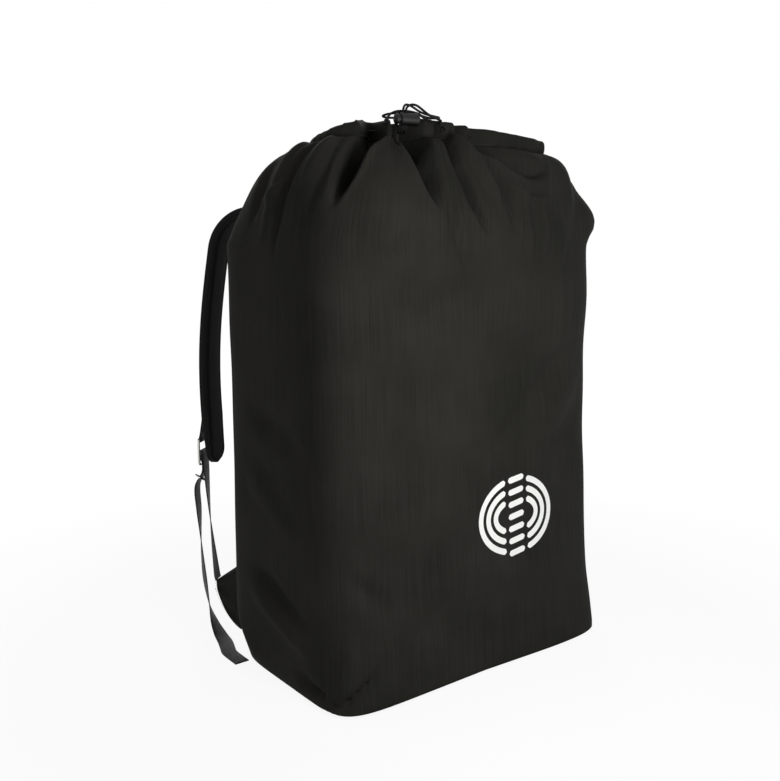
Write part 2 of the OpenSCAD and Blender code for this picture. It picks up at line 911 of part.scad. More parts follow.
module webbing(side) {
    route = webbing_path(side);
    n = len(route);
    path = [for (r = route) r[0]];
    points = [
        for (i = [0:n - 1])
            let (
                t = heading(path, i),
                w = unit(route[i][1] - (route[i][1] * t) * t),
                u = cross(t, w)
            )
            for (c = [[-1, -1], [1, -1], [1, 1], [-1, 1]])
                path[i] + c.x * web_w / 2 * w + c.y * web_t / 2 * u
    ];
    faces = concat(
        [[0, 1, 2, 3]],
        [
            for (i = [0:n - 2])
                for (j = [0:3])
                    let (a = 4 * i + j, b = 4 * i + (j + 1) % 4)
                    each quad(a, a + 4, b + 4, b)
        ],
        [[for (j = [3:-1:0]) 4 * (n - 1) + j]]
    );
    color("#2a2a2a")
        polyhedron(points, faces, convexity = 10);
}

module webbing_left() {
    webbing(LEFT);
}

module webbing_right() {
    webbing(RIGHT);
}

base_panel();
front_panel();
back_panel();
side_panel_left();
side_panel_right();
mouth_hem();
drawcord();
drawcord_tail_left();
drawcord_tail_right();
cord_lock_barrel();
cord_lock_plunger();
cord_lock_spring();
strap_anchor();
haul_loop();
wing_left();
wing_right();
webbing_left();
webbing_right();
strap_root_left();
strap_foam_left();
strap_cover_left();
strap_lining_left();
strap_binding_left();
strap_tab_left();
buckle_left();
strap_root_right();
strap_foam_right();
strap_cover_right();
strap_lining_right();
strap_binding_right();
strap_tab_right();
buckle_right();
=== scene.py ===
import json
import math

import bpy
import numpy as np
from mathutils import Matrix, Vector
from mathutils.bvhtree import BVHTree


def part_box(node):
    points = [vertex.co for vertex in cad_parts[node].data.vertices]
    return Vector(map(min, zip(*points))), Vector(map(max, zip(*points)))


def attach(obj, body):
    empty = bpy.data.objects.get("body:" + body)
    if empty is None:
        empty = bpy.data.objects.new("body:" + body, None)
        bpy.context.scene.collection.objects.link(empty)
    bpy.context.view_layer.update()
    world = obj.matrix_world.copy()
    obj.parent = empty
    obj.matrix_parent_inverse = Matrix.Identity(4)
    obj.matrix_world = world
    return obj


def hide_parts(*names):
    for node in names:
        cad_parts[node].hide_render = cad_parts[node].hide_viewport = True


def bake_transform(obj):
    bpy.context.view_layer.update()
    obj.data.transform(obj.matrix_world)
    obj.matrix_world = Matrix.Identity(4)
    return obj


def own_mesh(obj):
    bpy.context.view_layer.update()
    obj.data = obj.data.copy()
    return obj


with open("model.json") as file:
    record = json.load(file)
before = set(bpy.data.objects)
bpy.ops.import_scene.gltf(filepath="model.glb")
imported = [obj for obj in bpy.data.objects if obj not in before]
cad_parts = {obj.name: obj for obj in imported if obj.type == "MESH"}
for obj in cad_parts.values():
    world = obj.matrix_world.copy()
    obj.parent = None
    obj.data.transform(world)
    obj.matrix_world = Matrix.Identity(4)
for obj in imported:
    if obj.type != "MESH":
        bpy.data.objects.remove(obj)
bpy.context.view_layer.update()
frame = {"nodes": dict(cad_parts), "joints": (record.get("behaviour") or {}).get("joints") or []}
scene = bpy.context.scene
joints = {joint["name"]: joint for joint in frame["joints"]}
left, right = -1, 1
sideNames = {left: "left", right: "right"}


# ---- small helpers ----
def vec(*values):
    return np.array(values, float)


def unit(vectors):
    vectors = np.asarray(vectors, float)
    return vectors / np.maximum(np.linalg.norm(vectors, axis=-1, keepdims=True), 1e-12)


def smoothStep(value, low=0.0, high=1.0):
    share = np.clip((np.asarray(value, float) - low) / (high - low), 0, 1)
    return share * share * (3 - 2 * share)


def smoothLine(points, spacing):
    # even points on a smooth curve through the given ones
    points = np.asarray(points, float)
    ends = [2 * points[0] - points[1], 2 * points[-1] - points[-2]]
    padded = np.vstack([ends[:1], points, ends[1:]])
    share = np.linspace(0, 1, 24, endpoint=False)[:, None]
    pieces = []
    for a, b, c, d in zip(padded[:-3], padded[1:-2], padded[2:-1], padded[3:]):
        pieces.append(0.5 * (2 * b + (c - a) * share + (2 * a - 5 * b + 4 * c - d) * share**2
                             + (3 * b - a - 3 * c + d) * share**3))
    return evenLine(np.vstack(pieces + [points[-1:]]), spacing)


def lineLengths(points):
    return np.concatenate([[0], np.cumsum(np.linalg.norm(np.diff(points, axis=0), axis=1))])


def evenLine(points, spacing):
    along = lineLengths(points)
    steps = max(2, int(round(along[-1] / spacing)))
    wanted = np.linspace(0, along[-1], steps + 1)
    return np.stack([np.interp(wanted, along, column) for column in points.T], 1)


def tangents(points, closed=False):
    if closed:
        return unit(np.roll(points, -1, 0) - np.roll(points, 1, 0))
    return unit(np.gradient(points, axis=0))


def carriedSides(points, first=(0.13, 0.21, 1)):
    # side directions along a line without twist
    heading = tangents(points)
    sides, last = [], np.asarray(first, float)
    for direction in heading:
        last = unit(last - direction * (last @ direction))
        sides.append(last)
    return np.array(sides)


def addObject(name, data):
    made = bpy.data.objects.new(name, data)
    scene.collection.objects.link(made)
    return made


def newPiece(name, points, faces, material, uv=None, smooth=True):
    mesh = bpy.data.meshes.new(name)
    mesh.from_pydata(np.asarray(points, float).tolist(), [], [list(map(int, face)) for face in faces])
    if uv is not None:
        layer = mesh.uv_layers.new(name="cloth")
        layer.data.foreach_set("uv", np.asarray(uv, np.float32).ravel())
    mesh.update()
    if smooth:
        mesh.shade_smooth()
    mesh.materials.append(material)
    return addObject(name, mesh)


def gridFaces(rows, columns, closedRows=False, closedColumns=False):
    # quads of a grid of points, row by row, and the grid place of each of their corners
    rowIndex, columnIndex = np.meshgrid(
        np.arange(rows if closedRows else rows - 1),
        np.arange(columns if closedColumns else columns - 1), indexing="ij")
    i, j = rowIndex.ravel(), columnIndex.ravel()
    corners = [(i, j), (i, j + 1), (i + 1, j + 1), (i + 1, j)]
    faces = np.stack([(a % rows) * columns + b % columns for a, b in corners], 1)
    return faces, corners


def clothUv(corners, first, second):
    # the cloth's own map, from the lengths along a grid's columns and rows
    return np.stack([np.stack([first[b], second[a]], 1) for a, b in corners], 1).reshape(-1, 2)


def clothGrid(around, along):
    # the same map as a grid, one place for each point
    return np.stack(np.broadcast_arrays(around[None, :], along[:, None]), -1)


def loft(name, points, around, along, material, closedRows=False, capMap=None, flip=False):
    # a skin over rings of points, capped at both ends unless the rows come round
    rows, columns = points.shape[:2]
    faces, corners = gridFaces(rows, columns, closedRows, True)
    caps = [] if closedRows else [list(range(columns))[::-1], list(range((rows - 1) * columns, rows * columns))]
    if flip:
        faces, corners, caps = faces[:, ::-1], corners[::-1], [cap[::-1] for cap in caps]
    uv = clothUv(corners, around, along)
    if caps:
        capMap = np.zeros((columns, 2)) if capMap is None else capMap
        uv = np.vstack([uv, capMap[::-1], capMap])
    return newPiece(name, points.reshape(-1, 3), faces.tolist() + caps, material, uv)


def sweep(name, path, across, section, material, widths=None, closedPath=False):
    # a closed section carried along a path; its first axis lies along across
    path, section = np.asarray(path, float), np.asarray(section, float)
    heading = tangents(path, closedPath)
    across = unit(across - heading * np.sum(across * heading, axis=1, keepdims=True))
    upward = np.cross(heading, across)
    widths = np.ones(len(path)) if widths is None else widths
    points = (path[:, None] + across[:, None] * (section[None, :, :1] * widths[:, None, None])
              + upward[:, None] * section[None, :, 1:])
    along = lineLengths(np.vstack([path, path[:1]]) if closedPath else path)
    ring = lineLengths(np.vstack([section, section[:1]]))
    return loft(name, points, ring, along, material, closedPath, section)


def evenTurn(steps):
    # angles of one full turn, without its end
    return 2 * math.pi * np.arange(steps) / steps


def roundSection(radius, sides):
    angles = evenTurn(sides)
    return np.stack([radius * np.cos(angles), radius * np.sin(angles)], 1)


def flatSection(width, thickness, edge=3):
    # a band with rounded edges, anticlockwise
    radius = thickness / 2
    middle = width / 2 - radius
    angles = np.radians(np.linspace(-90, 90, edge + 1))
    rim = np.stack([middle + radius * np.cos(angles), radius * np.sin(angles)], 1)
    half = np.vstack([rim, [(middle / 3, radius), (-middle / 3, radius)]])
    return np.vstack([half, -half])


def bakedMesh(piece):
    # a plain mesh of what the modifiers make
    return bpy.data.meshes.new_from_object(piece.evaluated_get(bpy.context.evaluated_depsgraph_get()))


def finishPiece(piece, body, slot, *nodes):
    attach(piece, body)
    if nodes:
        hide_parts(*nodes)
    return piece


# ---- materials ----
def linearColour(hexText):
    values = [int(hexText[i:i + 2], 16) / 255 for i in (1, 3, 5)]
    return [v / 12.92 if v <= 0.04045 else ((v + 0.055) / 1.055) ** 2.4 for v in values] + [1.0]


def addNode(tree, kind, inputs=None, **settings):
    node = tree.nodes.new(kind)
    for key, value in settings.items():
        setattr(node, key, value)
    for key, value in (inputs or {}).items():
        if isinstance(value, bpy.types.NodeSocket):
            tree.links.new(value, node.inputs[key])
        else:
            node.inputs[key].default_value = value
    return node.outputs


def startMaterial(name, sockets):
    material = bpy.data.materials.new(name)
    material.use_nodes = True
    tree = material.node_tree
    shader = tree.nodes["Principled BSDF"]
    for key, value in sockets.items():
        shader.inputs[key].default_value = value
    return material, tree, shader


def maths(tree, operation, first, second=0.0):
    return addNode(tree, "ShaderNodeMath", {0: first, 1: second}, operation=operation)[0]


def remap(tree, value, low, high, toLow, toHigh):
    return addNode(tree, "ShaderNodeMapRange", {"Value": value, "From Min": low, "From Max": high,
                                                "To Min": toLow, "To Max": toHigh})[0]


def noise(tree, place, scale, detail):
    return addNode(tree, "ShaderNodeTexNoise", {"Vector": place, "Scale": scale, "Detail": detail})[0]


def dress(tree, shader, share, colours, height, strength, distance):
    # the tone runs between two colours, and the height stands up as bump
    ends = {6: linearColour(colours[0]), 7: linearColour(colours[1])}
    colour = addNode(tree, "ShaderNodeMix", {"Factor": share, **ends}, data_type="RGBA")
    tree.links.new(colour[2], shader.inputs["Base Color"])
    bump = addNode(tree, "ShaderNodeBump", {"Height": height, "Strength": strength, "Distance": distance})
    tree.links.new(bump[0], shader.inputs["Normal"])


def clothMaterial(name, colours, pitch, ridge, roughness, gloss, ribs=1.0, mottle=0.06, streak=0.0):
    # plain or ribbed weave from the cloth's own map, in metres; pitch is one thread
    material, tree, shader = startMaterial(name, {"Roughness": roughness, "Specular IOR Level": gloss})
    cloth = addNode(tree, "ShaderNodeUVMap", uv_map="cloth")[0]
    parts = addNode(tree, "ShaderNodeSeparateXYZ", {0: cloth})
    waves = [maths(tree, "SINE", maths(tree, "MULTIPLY", parts[axis], 2 * math.pi / (pitch * stretch)))
             for axis, stretch in ((0, 1.0), (1, ribs))]
    weave = maths(tree, "MULTIPLY", *waves)
    # thicker and thinner yarns: long streaks 1.5 mm wide along the warp
    stretched = addNode(tree, "ShaderNodeMapping", {"Vector": cloth, "Scale": (650.0, 9.0, 1.0)})[0]
    streaks = remap(tree, noise(tree, stretched, 1.0, 2.0), 0.3, 0.7, -streak, streak)
    patches = remap(tree, noise(tree, cloth, 9.0, 4.0), 0.3, 0.7, -mottle * 3, mottle * 3)
    tone = remap(tree, weave, -1.0, 1.0, 0.32, 0.68)
    share = maths(tree, "ADD", maths(tree, "ADD", tone, patches), streaks)
    dress(tree, shader, share, colours, weave, 0.5, ridge)
    return material


def grainMaterial(name, colours, scale, distance, roughness, **sockets):
    # a fine uneven surface: its tone, roughness and bump drift together; scale is grains to a metre
    material, tree, shader = startMaterial(name, sockets)
    place = addNode(tree, "ShaderNodeTexCoord")["Object"]
    grain = noise(tree, place, scale, 3.0)
    tree.links.new(remap(tree, grain, 0.3, 0.7, *roughness), shader.inputs["Roughness"])
    dress(tree, shader, grain, colours, grain, 0.4, distance)
    return material


# 600D polyester with a polyurethane coating, plain weave: dark, slightly silky, soft wide highlights
polyester = ("#1f1f1c", "#2f2e2b")
bagCloth = clothMaterial("coatedPolyester", polyester, 0.0012, 0.0002, 0.55, 0.012, 1.0, 0.09, 0.24)
hemCloth = clothMaterial("hemPolyester", polyester, 0.0012, 0.0002, 0.57, 0.012, 1.0, 0.09, 0.24)
# 1000D nylon face of the straps: a deeper, rougher black
strapCloth = clothMaterial("strapNylon", ("#070606", "#0e0d0c"), 0.0014, 0.0003, 0.75, 0.10, 1.0)
# knitted spacer mesh: an open, matt face
spacerMesh = clothMaterial("spacerMesh", ("#070707", "#141414"), 0.0032, 0.0007, 0.85, 0.10, 1.2)
# grosgrain binding tape: fine cross ribs
bindingTape = clothMaterial("grosgrainTape", ("#0b0a0a", "#151413"), 0.0016, 0.0003, 0.7, 0.15, 0.6)
# polypropylene webbing: thick yarns with a slight shine
webbingYarn = clothMaterial("wovenWebbing", ("#0e0e0e", "#222222"), 0.0022, 0.0004, 0.55, 0.25, 1.0)
# braided polyester cord
cordYarn = clothMaterial("braidedCord", ("#090909", "#171716"), 0.0020, 0.0003, 0.65, 0.15, 1.0)
# screen-printed plastisol ink: flat white with a soft gloss, uneven where the weave shows through
printInk = grainMaterial("screenInk", ("#e6e6e1", "#f8f8f5"), 800.0, 0.0001, (0.40, 0.55))
# nickel-plated steel wire: bright, with fine handling scratches
nickelWire = grainMaterial("nickelPlatedWire", ("#bdbcb8", "#d2d1cd"), 2500.0, 0.00001, (0.18, 0.32),
                           Metallic=1.0)
# moulded acetal of the cord lock: waxy black with the fine grain of a spark-eroded mould
acetal = grainMaterial("mouldedAcetal", ("#090909", "#0f0f0f"), 3000.0, 0.00004, (0.36, 0.50),
                       **{"Specular IOR Level": 0.3})
# bonded polyester sewing thread: its twisted filaments catch a little light
sewingThread = grainMaterial("bondedPolyesterThread", ("#141413", "#201f1e"), 4000.0, 0.00005, (0.42, 0.60))
print("materials ready")


# ---- camera ----
cameraPlan = {"place": (-0.8305, -1.0058, 0.5833), "turn": -38.0, "down": 9.0, "lens": 41.54}
turn, down = math.radians(-cameraPlan["turn"]), math.radians(cameraPlan["down"])
cameraData = bpy.data.cameras.new("camera")
camera = addObject("camera", cameraData)
scene.camera = camera
cameraData.sensor_width = 36
cameraData.lens = cameraPlan["lens"]
camera.location = cameraPlan["place"]
lookAlong = Vector((math.sin(turn) * math.cos(down), math.cos(turn) * math.cos(down), -math.sin(down)))
camera.rotation_euler = lookAlong.to_track_quat("-Z", "Y").to_euler()


# ---- free cord tails ----
cordPlan = {
    "diameter": 0.003,
    "lock": (-0.08506, -0.08212, 0.745),  # middle of the cord lock
    "turn": -12.61,  # degrees of the lock about Z
    "strandGap": 0.004,
    "strandEnd": 0.009,  # height over the lock where the tails start
    "knotSize": 0.010,
    # the tails' routes in mm from where they leave the lock
    "leftRoute": [
        (0, 0, 0), (0, 0, 3.2), (1.8, 1.2, 7), (6, 4.2, 9.6), (12.5, 6, 9.2), (19, 6, 6.2), (26.5, 5, 2),
        (35, 3.5, -0.8), (44, 2, -2.6), (52.5, 4, -3.4), (56.5, 10, -3.4), (53.5, 16.5, -3),
        (45.5, 18.5, -2.5), (36.5, 16, -1.5), (28, 13.5, -0.5), (19.5, 11, 0), (8, 8, 0), (-4, 6, -1),
        (-12.5, 6, -2), (-18.5, 9, -3), (-21, 15, -4), (-18.5, 21, -4.5), (-12, 23.5, -5), (-4, 22.5, -5),
        (6, 20.5, -5), (16, 19.5, -5), (26.5, 19.5, -5), (36.5, 19.5, -5.5), (46, 18, -6.5), (53.5, 14.5, -8),
        (58, 9.5, -10.5), (59, 6, -15),
    ],
    "rightRoute": [
        (0, 0, 0), (0, 0, 3.2), (2, -1, 6.8), (6.6, -2.8, 9), (13, -4.2, 8), (19.4, -5.2, 4),
        (26.4, -6.2, -1), (33, -7.2, -4.5), (40.5, -7.5, -7), (47.2, -5, -8.5), (50.2, 1, -9),
        (47.2, 6.8, -8.8), (40.5, 9, -8), (33, 7.5, -6.5), (26.4, 5.5, -4), (20.5, 4, -1), (13, 3, 0.5),
        (4, 3, 1.5), (-4, 4, 1.5), (-12, 5, 0.5), (-19, 4.5, -2.5), (-24.5, 2, -7), (-27.5, -1, -12),
    ],
}
springPlan = {"turns": 4, "radius": 0.0036, "wire": 0.0008, "start": 0.0060, "end": 0.0158, "keep": 0.72}


def fromLock(points):
    # a place in the cord lock's own frame, turned into the bag's
    points = np.asarray(points, float)
    angle = math.radians(cordPlan["turn"])
    x = points[:, 0] * math.cos(angle) - points[:, 1] * math.sin(angle)
    y = points[:, 0] * math.sin(angle) + points[:, 1] * math.cos(angle)
    return np.stack([x, y, points[:, 2]], 1) + np.array(cordPlan["lock"])


# the lock's spring, made at rest; in the real lock it closes up as the plunger is pressed
turns = np.linspace(0, 2 * math.pi * springPlan["turns"], 30 * springPlan["turns"] + 1)
coil = fromLock(np.stack([springPlan["start"] + (springPlan["end"] - springPlan["start"]) * turns / turns[-1],
                          springPlan["radius"] * np.cos(turns), springPlan["radius"] * np.sin(turns)], 1))
lockAxis = unit(fromLock([(1, 0, 0)])[0] - fromLock([(0, 0, 0)])[0])
spring = sweep("lockSpring", coil, np.tile(lockAxis, (len(coil), 1)),
               roundSection(springPlan["wire"] / 2, 8), nickelWire)
finishPiece(spring, "cord_lock", "spring_steel", "cord_lock_spring")
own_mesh(spring)
for side, name in sideNames.items():
    label = name.capitalize()
    start = vec(side * cordPlan["strandGap"] / 2, 0, cordPlan["strandEnd"])
    route = smoothLine(fromLock(np.array(cordPlan[name + "Route"]) / 1000 + start), 0.0012)
    routeSides = carriedSides(route)
    tail = sweep("cordTail" + label, route, routeSides,
                 roundSection(cordPlan["diameter"] / 2, 12), cordYarn)
    finishPiece(tail, "cord_lock", "drawcord_fabric", "drawcord_tail_" + name)
    # overhand knot on its end
    t = evenTurn(72)
    loops = np.stack([np.sin(t) + 2 * np.sin(2 * t), np.cos(t) - 2 * np.cos(2 * t), -1.3 * np.sin(3 * t)], 1)
    ahead = unit(route[-1] - route[-4])
    frameAxes = np.stack([routeSides[-1], ahead, np.cross(routeSides[-1], ahead)])
    knotLine = route[-1] + ahead * 0.0025 + (loops * cordPlan["knotSize"] / 8) @ frameAxes
    knot = sweep("cordKnot" + label, knotLine, np.tile(frameAxes[2], (len(t), 1)),
                 roundSection(cordPlan["diameter"] / 2 * 0.9, 10), cordYarn, closedPath=True)
    finishPiece(knot, "cord_lock", "drawcord_fabric")
for node in ("cord_lock_barrel", "cord_lock_plunger"):
    cadMesh = frame["nodes"][node].data
    cadMesh.materials.clear()
    cadMesh.materials.append(acetal)
print("cord tails ready")


# ---- sewing ----
def sewingTree():
    # stitches along a line: the line is cut into equal steps and a short thread lies on each
    tree = bpy.data.node_groups.new("stitchRow", "GeometryNodeTree")
    asked = {"Line": "Geometry", "Pitch": "Float", "Stitch length": "Float", "Thread": "Float",
             "Finish": "Material"}
    for title, kind in asked.items():
        tree.interface.new_socket(name=title, in_out="INPUT", socket_type="NodeSocket" + kind)
    tree.interface.new_socket(name="Stitches", in_out="OUTPUT", socket_type="NodeSocketGeometry")
    given = tree.nodes.new("NodeGroupInput").outputs
    steps = addNode(tree, "GeometryNodeResampleCurve", {"Curve": given["Line"], "Length": given["Pitch"]},
                    mode="LENGTH")[0]
    along = addNode(tree, "GeometryNodeInputTangent")[0]
    facing = addNode(tree, "FunctionNodeAlignRotationToVector", {"Vector": along}, axis="X")[0]
    thread = addNode(tree, "GeometryNodeMeshUVSphere", {"Segments": 6, "Rings": 4, "Radius": 0.5})[0]
    thick = given["Thread"]
    size = addNode(tree, "ShaderNodeCombineXYZ", {0: given["Stitch length"], 1: thick, 2: thick})[0]
    placed = addNode(tree, "GeometryNodeInstanceOnPoints", {
        "Points": steps, "Instance": thread, "Rotation": facing, "Scale": size})[0]
    real = addNode(tree, "GeometryNodeRealizeInstances", {0: placed})[0]
    dressed = addNode(tree, "GeometryNodeSetMaterial", {"Geometry": real, "Material": given["Finish"]})[0]
    addNode(tree, "NodeGroupOutput", {0: dressed})
    return tree


def sew(name, lines, body, thread=0.0006, pitch=0.0036):
    # one mesh of stitches for all the lines of a body
    curve = bpy.data.curves.new(name, "CURVE")
    curve.dimensions = "3D"
    for line in lines:
        spline = curve.splines.new("POLY")
        spline.points.add(len(line) - 1)
        spline.points.foreach_set("co", np.hstack([line, np.ones((len(line), 1))]).ravel())
    holder = addObject(name + "Line", curve)
    modifier = holder.modifiers.new("stitches", "NODES")
    modifier.node_group = stitchTree
    wanted = {"Pitch": pitch, "Stitch length": pitch * 0.74, "Thread": thread, "Finish": sewingThread}
    for item in stitchTree.interface.items_tree:
        if item.name in wanted:
            modifier[item.identifier] = wanted[item.name]
    mesh = bakedMesh(holder)
    bpy.data.objects.remove(holder)
    mesh.name = name
    mesh.shade_smooth()
    stitches = addObject(name, mesh)
    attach(stitches, body)
    return stitches


stitchTree = sewingTree()


# ---- bag shell ----
bagPlan = {
    "width": 0.5, "depth": 0.282, "height": 0.742, "shoulder": 0.59, "hemHeight": 0.025,
    "bulge": 0.022, "footSpread": 0.014, "bottomRadius": 0.008, "mouthWidth": 0.369, "mouthDepth": 0.136,
    "mouthShift": (0.0195, -0.008), "lean": 0.007,
    "cell": 0.0026,  # size of a mesh cell at the shoulders
    "wallCell": 0.009,  # height of a cell low on the wall
    "clothThickness": 0.001, "clothHeight": 0.79,
    # how far the mouth's edge is lifted at stations round it, in mm: it dips where the cord pulls it
    "liftStations": (0, 0.06, 0.13, 0.20, 0.26, 0.36, 0.5, 0.95, 1.1, 2, 2.8, 3.1, 3.35, 3.55, 3.8, 4),
    "lift": (6, 8, 4, 0, 1, 9, 8, 0, 0, 0, -2, -4, -4, -1, 5, 6),
    # depth of the gathers under the hem, in mm
    "gatherStations": (0, 0.35, 0.5, 1, 1.3, 2.7, 3.2, 4), "gathers": (0.6, 0.6, 1.2, 1.2, 4, 4, 1.2, 0.6),
}
hemFoot = bagPlan["height"] - bagPlan["hemHeight"]


def closing(z):
    return np.clip((z - bagPlan["shoulder"]) / (hemFoot - bagPlan["shoulder"]), 0, 1)


def halfSize(body, mouth, fullness, z, roundness=2.8):
    radius = bagPlan["bottomRadius"]
    inset = radius - np.sqrt(np.maximum(0, radius**2 - (radius - np.maximum(0, z)) ** 2))
    return (mouth + (body - mouth) * np.maximum(0, 1 - closing(z) ** fullness) ** (1 / roundness)
            - np.where(z < radius, inset, 0))


def square(station):
    # a station from 0 to 4 runs along the front, right, back and left sides
    side = np.floor(station).astype(int) % 4
    share = -1 + 2 * (station - np.floor(station))
    ones = np.ones_like(share)
    return np.choose(side, [share, ones, -share, -ones]), np.choose(side, [-ones, share, ones, -share])


def skin(station, z):
    station, z = np.broadcast_arrays(np.asarray(station, float) % 4, np.asarray(z, float))
    x, y = square(station)
    low = np.clip(1 - z / bagPlan["shoulder"], 0, 1)
    shiftX, shiftY = bagPlan["mouthShift"]
    halfW = np.where(
        x < 0,
        halfSize(bagPlan["width"] / 2 - bagPlan["lean"], bagPlan["mouthWidth"] / 2 - shiftX, 1.2, z),
        halfSize(bagPlan["width"] / 2 + bagPlan["lean"], bagPlan["mouthWidth"] / 2 + shiftX, 1.6, z, 1.8))
    spread = bagPlan["footSpread"] * low**5 * np.clip(x, 0, 1)  # the filling presses the right foot forward
    bodyHalf, mouthHalf = bagPlan["depth"] / 2, bagPlan["mouthDepth"] / 2
    halfD = np.where(
        y < 0,
        halfSize(bodyHalf, mouthHalf - shiftY, 1.7, z) + bagPlan["bulge"] * low**1.6 + spread,
        halfSize(bodyHalf, mouthHalf + shiftY, 1.3, z))
    # the right front corner of the mouth stays squarer than the rest
    softening = np.where(y < 0, np.where(x > 0, -1.5, 2.7) * closing(z),
                         np.where(x < 0, 5.15, 5.4) * closing(z) ** 0.45)
    # at the foot the back left corner is pressed round and the front left one stays squarer
    foot = smoothStep(0.07 - z, 0, 0.07)
    pressed = np.where(x < 0, np.where(y > 0, 5.0, -2.5), 0) * foot
    squareness = np.where(y < 0, 5.3, 8) + low**4 - softening - pressed
    reach = (np.abs(x) ** squareness + np.abs(y) ** squareness) ** (1 / squareness)
    return np.stack([halfW * x / reach, halfD * y / reach, z], -1)


fineStations = np.linspace(0, 4, 8001)
fineRing = skin(fineStations, 0.45)
fineLengths = lineLengths(fineRing)
girth = fineLengths[-1]
cornerLengths = [float(np.interp(s, fineStations, fineLengths)) for s in range(5)]
columnCount = int(round(girth / bagPlan["cell"]))
columnAlong = np.arange(columnCount) * girth / columnCount
columnStation = np.interp(columnAlong, fineLengths, fineStations)
# rows are even along the wall at the middle of the left and front sides
shoulder = bagPlan["shoulder"]
fineHeights = np.concatenate([np.linspace(0, shoulder, 600),
                              hemFoot - (hemFoot - shoulder) * np.linspace(1, 0, 900) ** 2.2])
wall = (lineLengths(skin(3.4, fineHeights)) + lineLengths(skin(0.5, fineHeights))) / 2
crossover = 0.42
rowAlong = np.concatenate([np.arange(0, crossover, bagPlan["wallCell"]),
                           np.linspace(crossover, wall[-1], int((wall[-1] - crossover) / bagPlan["cell"]))])
rowHeight = np.interp(rowAlong, wall, fineHeights)
shellGrid = skin(columnStation[None, :], rowHeight[:, None])


def gridNormals(grid):
    around = np.roll(grid, -1, 1) - np.roll(grid, 1, 1)
    upward = np.gradient(grid, axis=0)
    normals = unit(np.cross(around, upward))
    level = unit(np.stack([around[-1, :, 1], -around[-1, :, 0], 0 * around[-1, :, 0]], -1))
    blend = smoothStep(rowAlong, rowAlong[-1] - 0.02, rowAlong[-1])[:, None, None]
    return unit(normals * (1 - blend) + level[None] * blend)


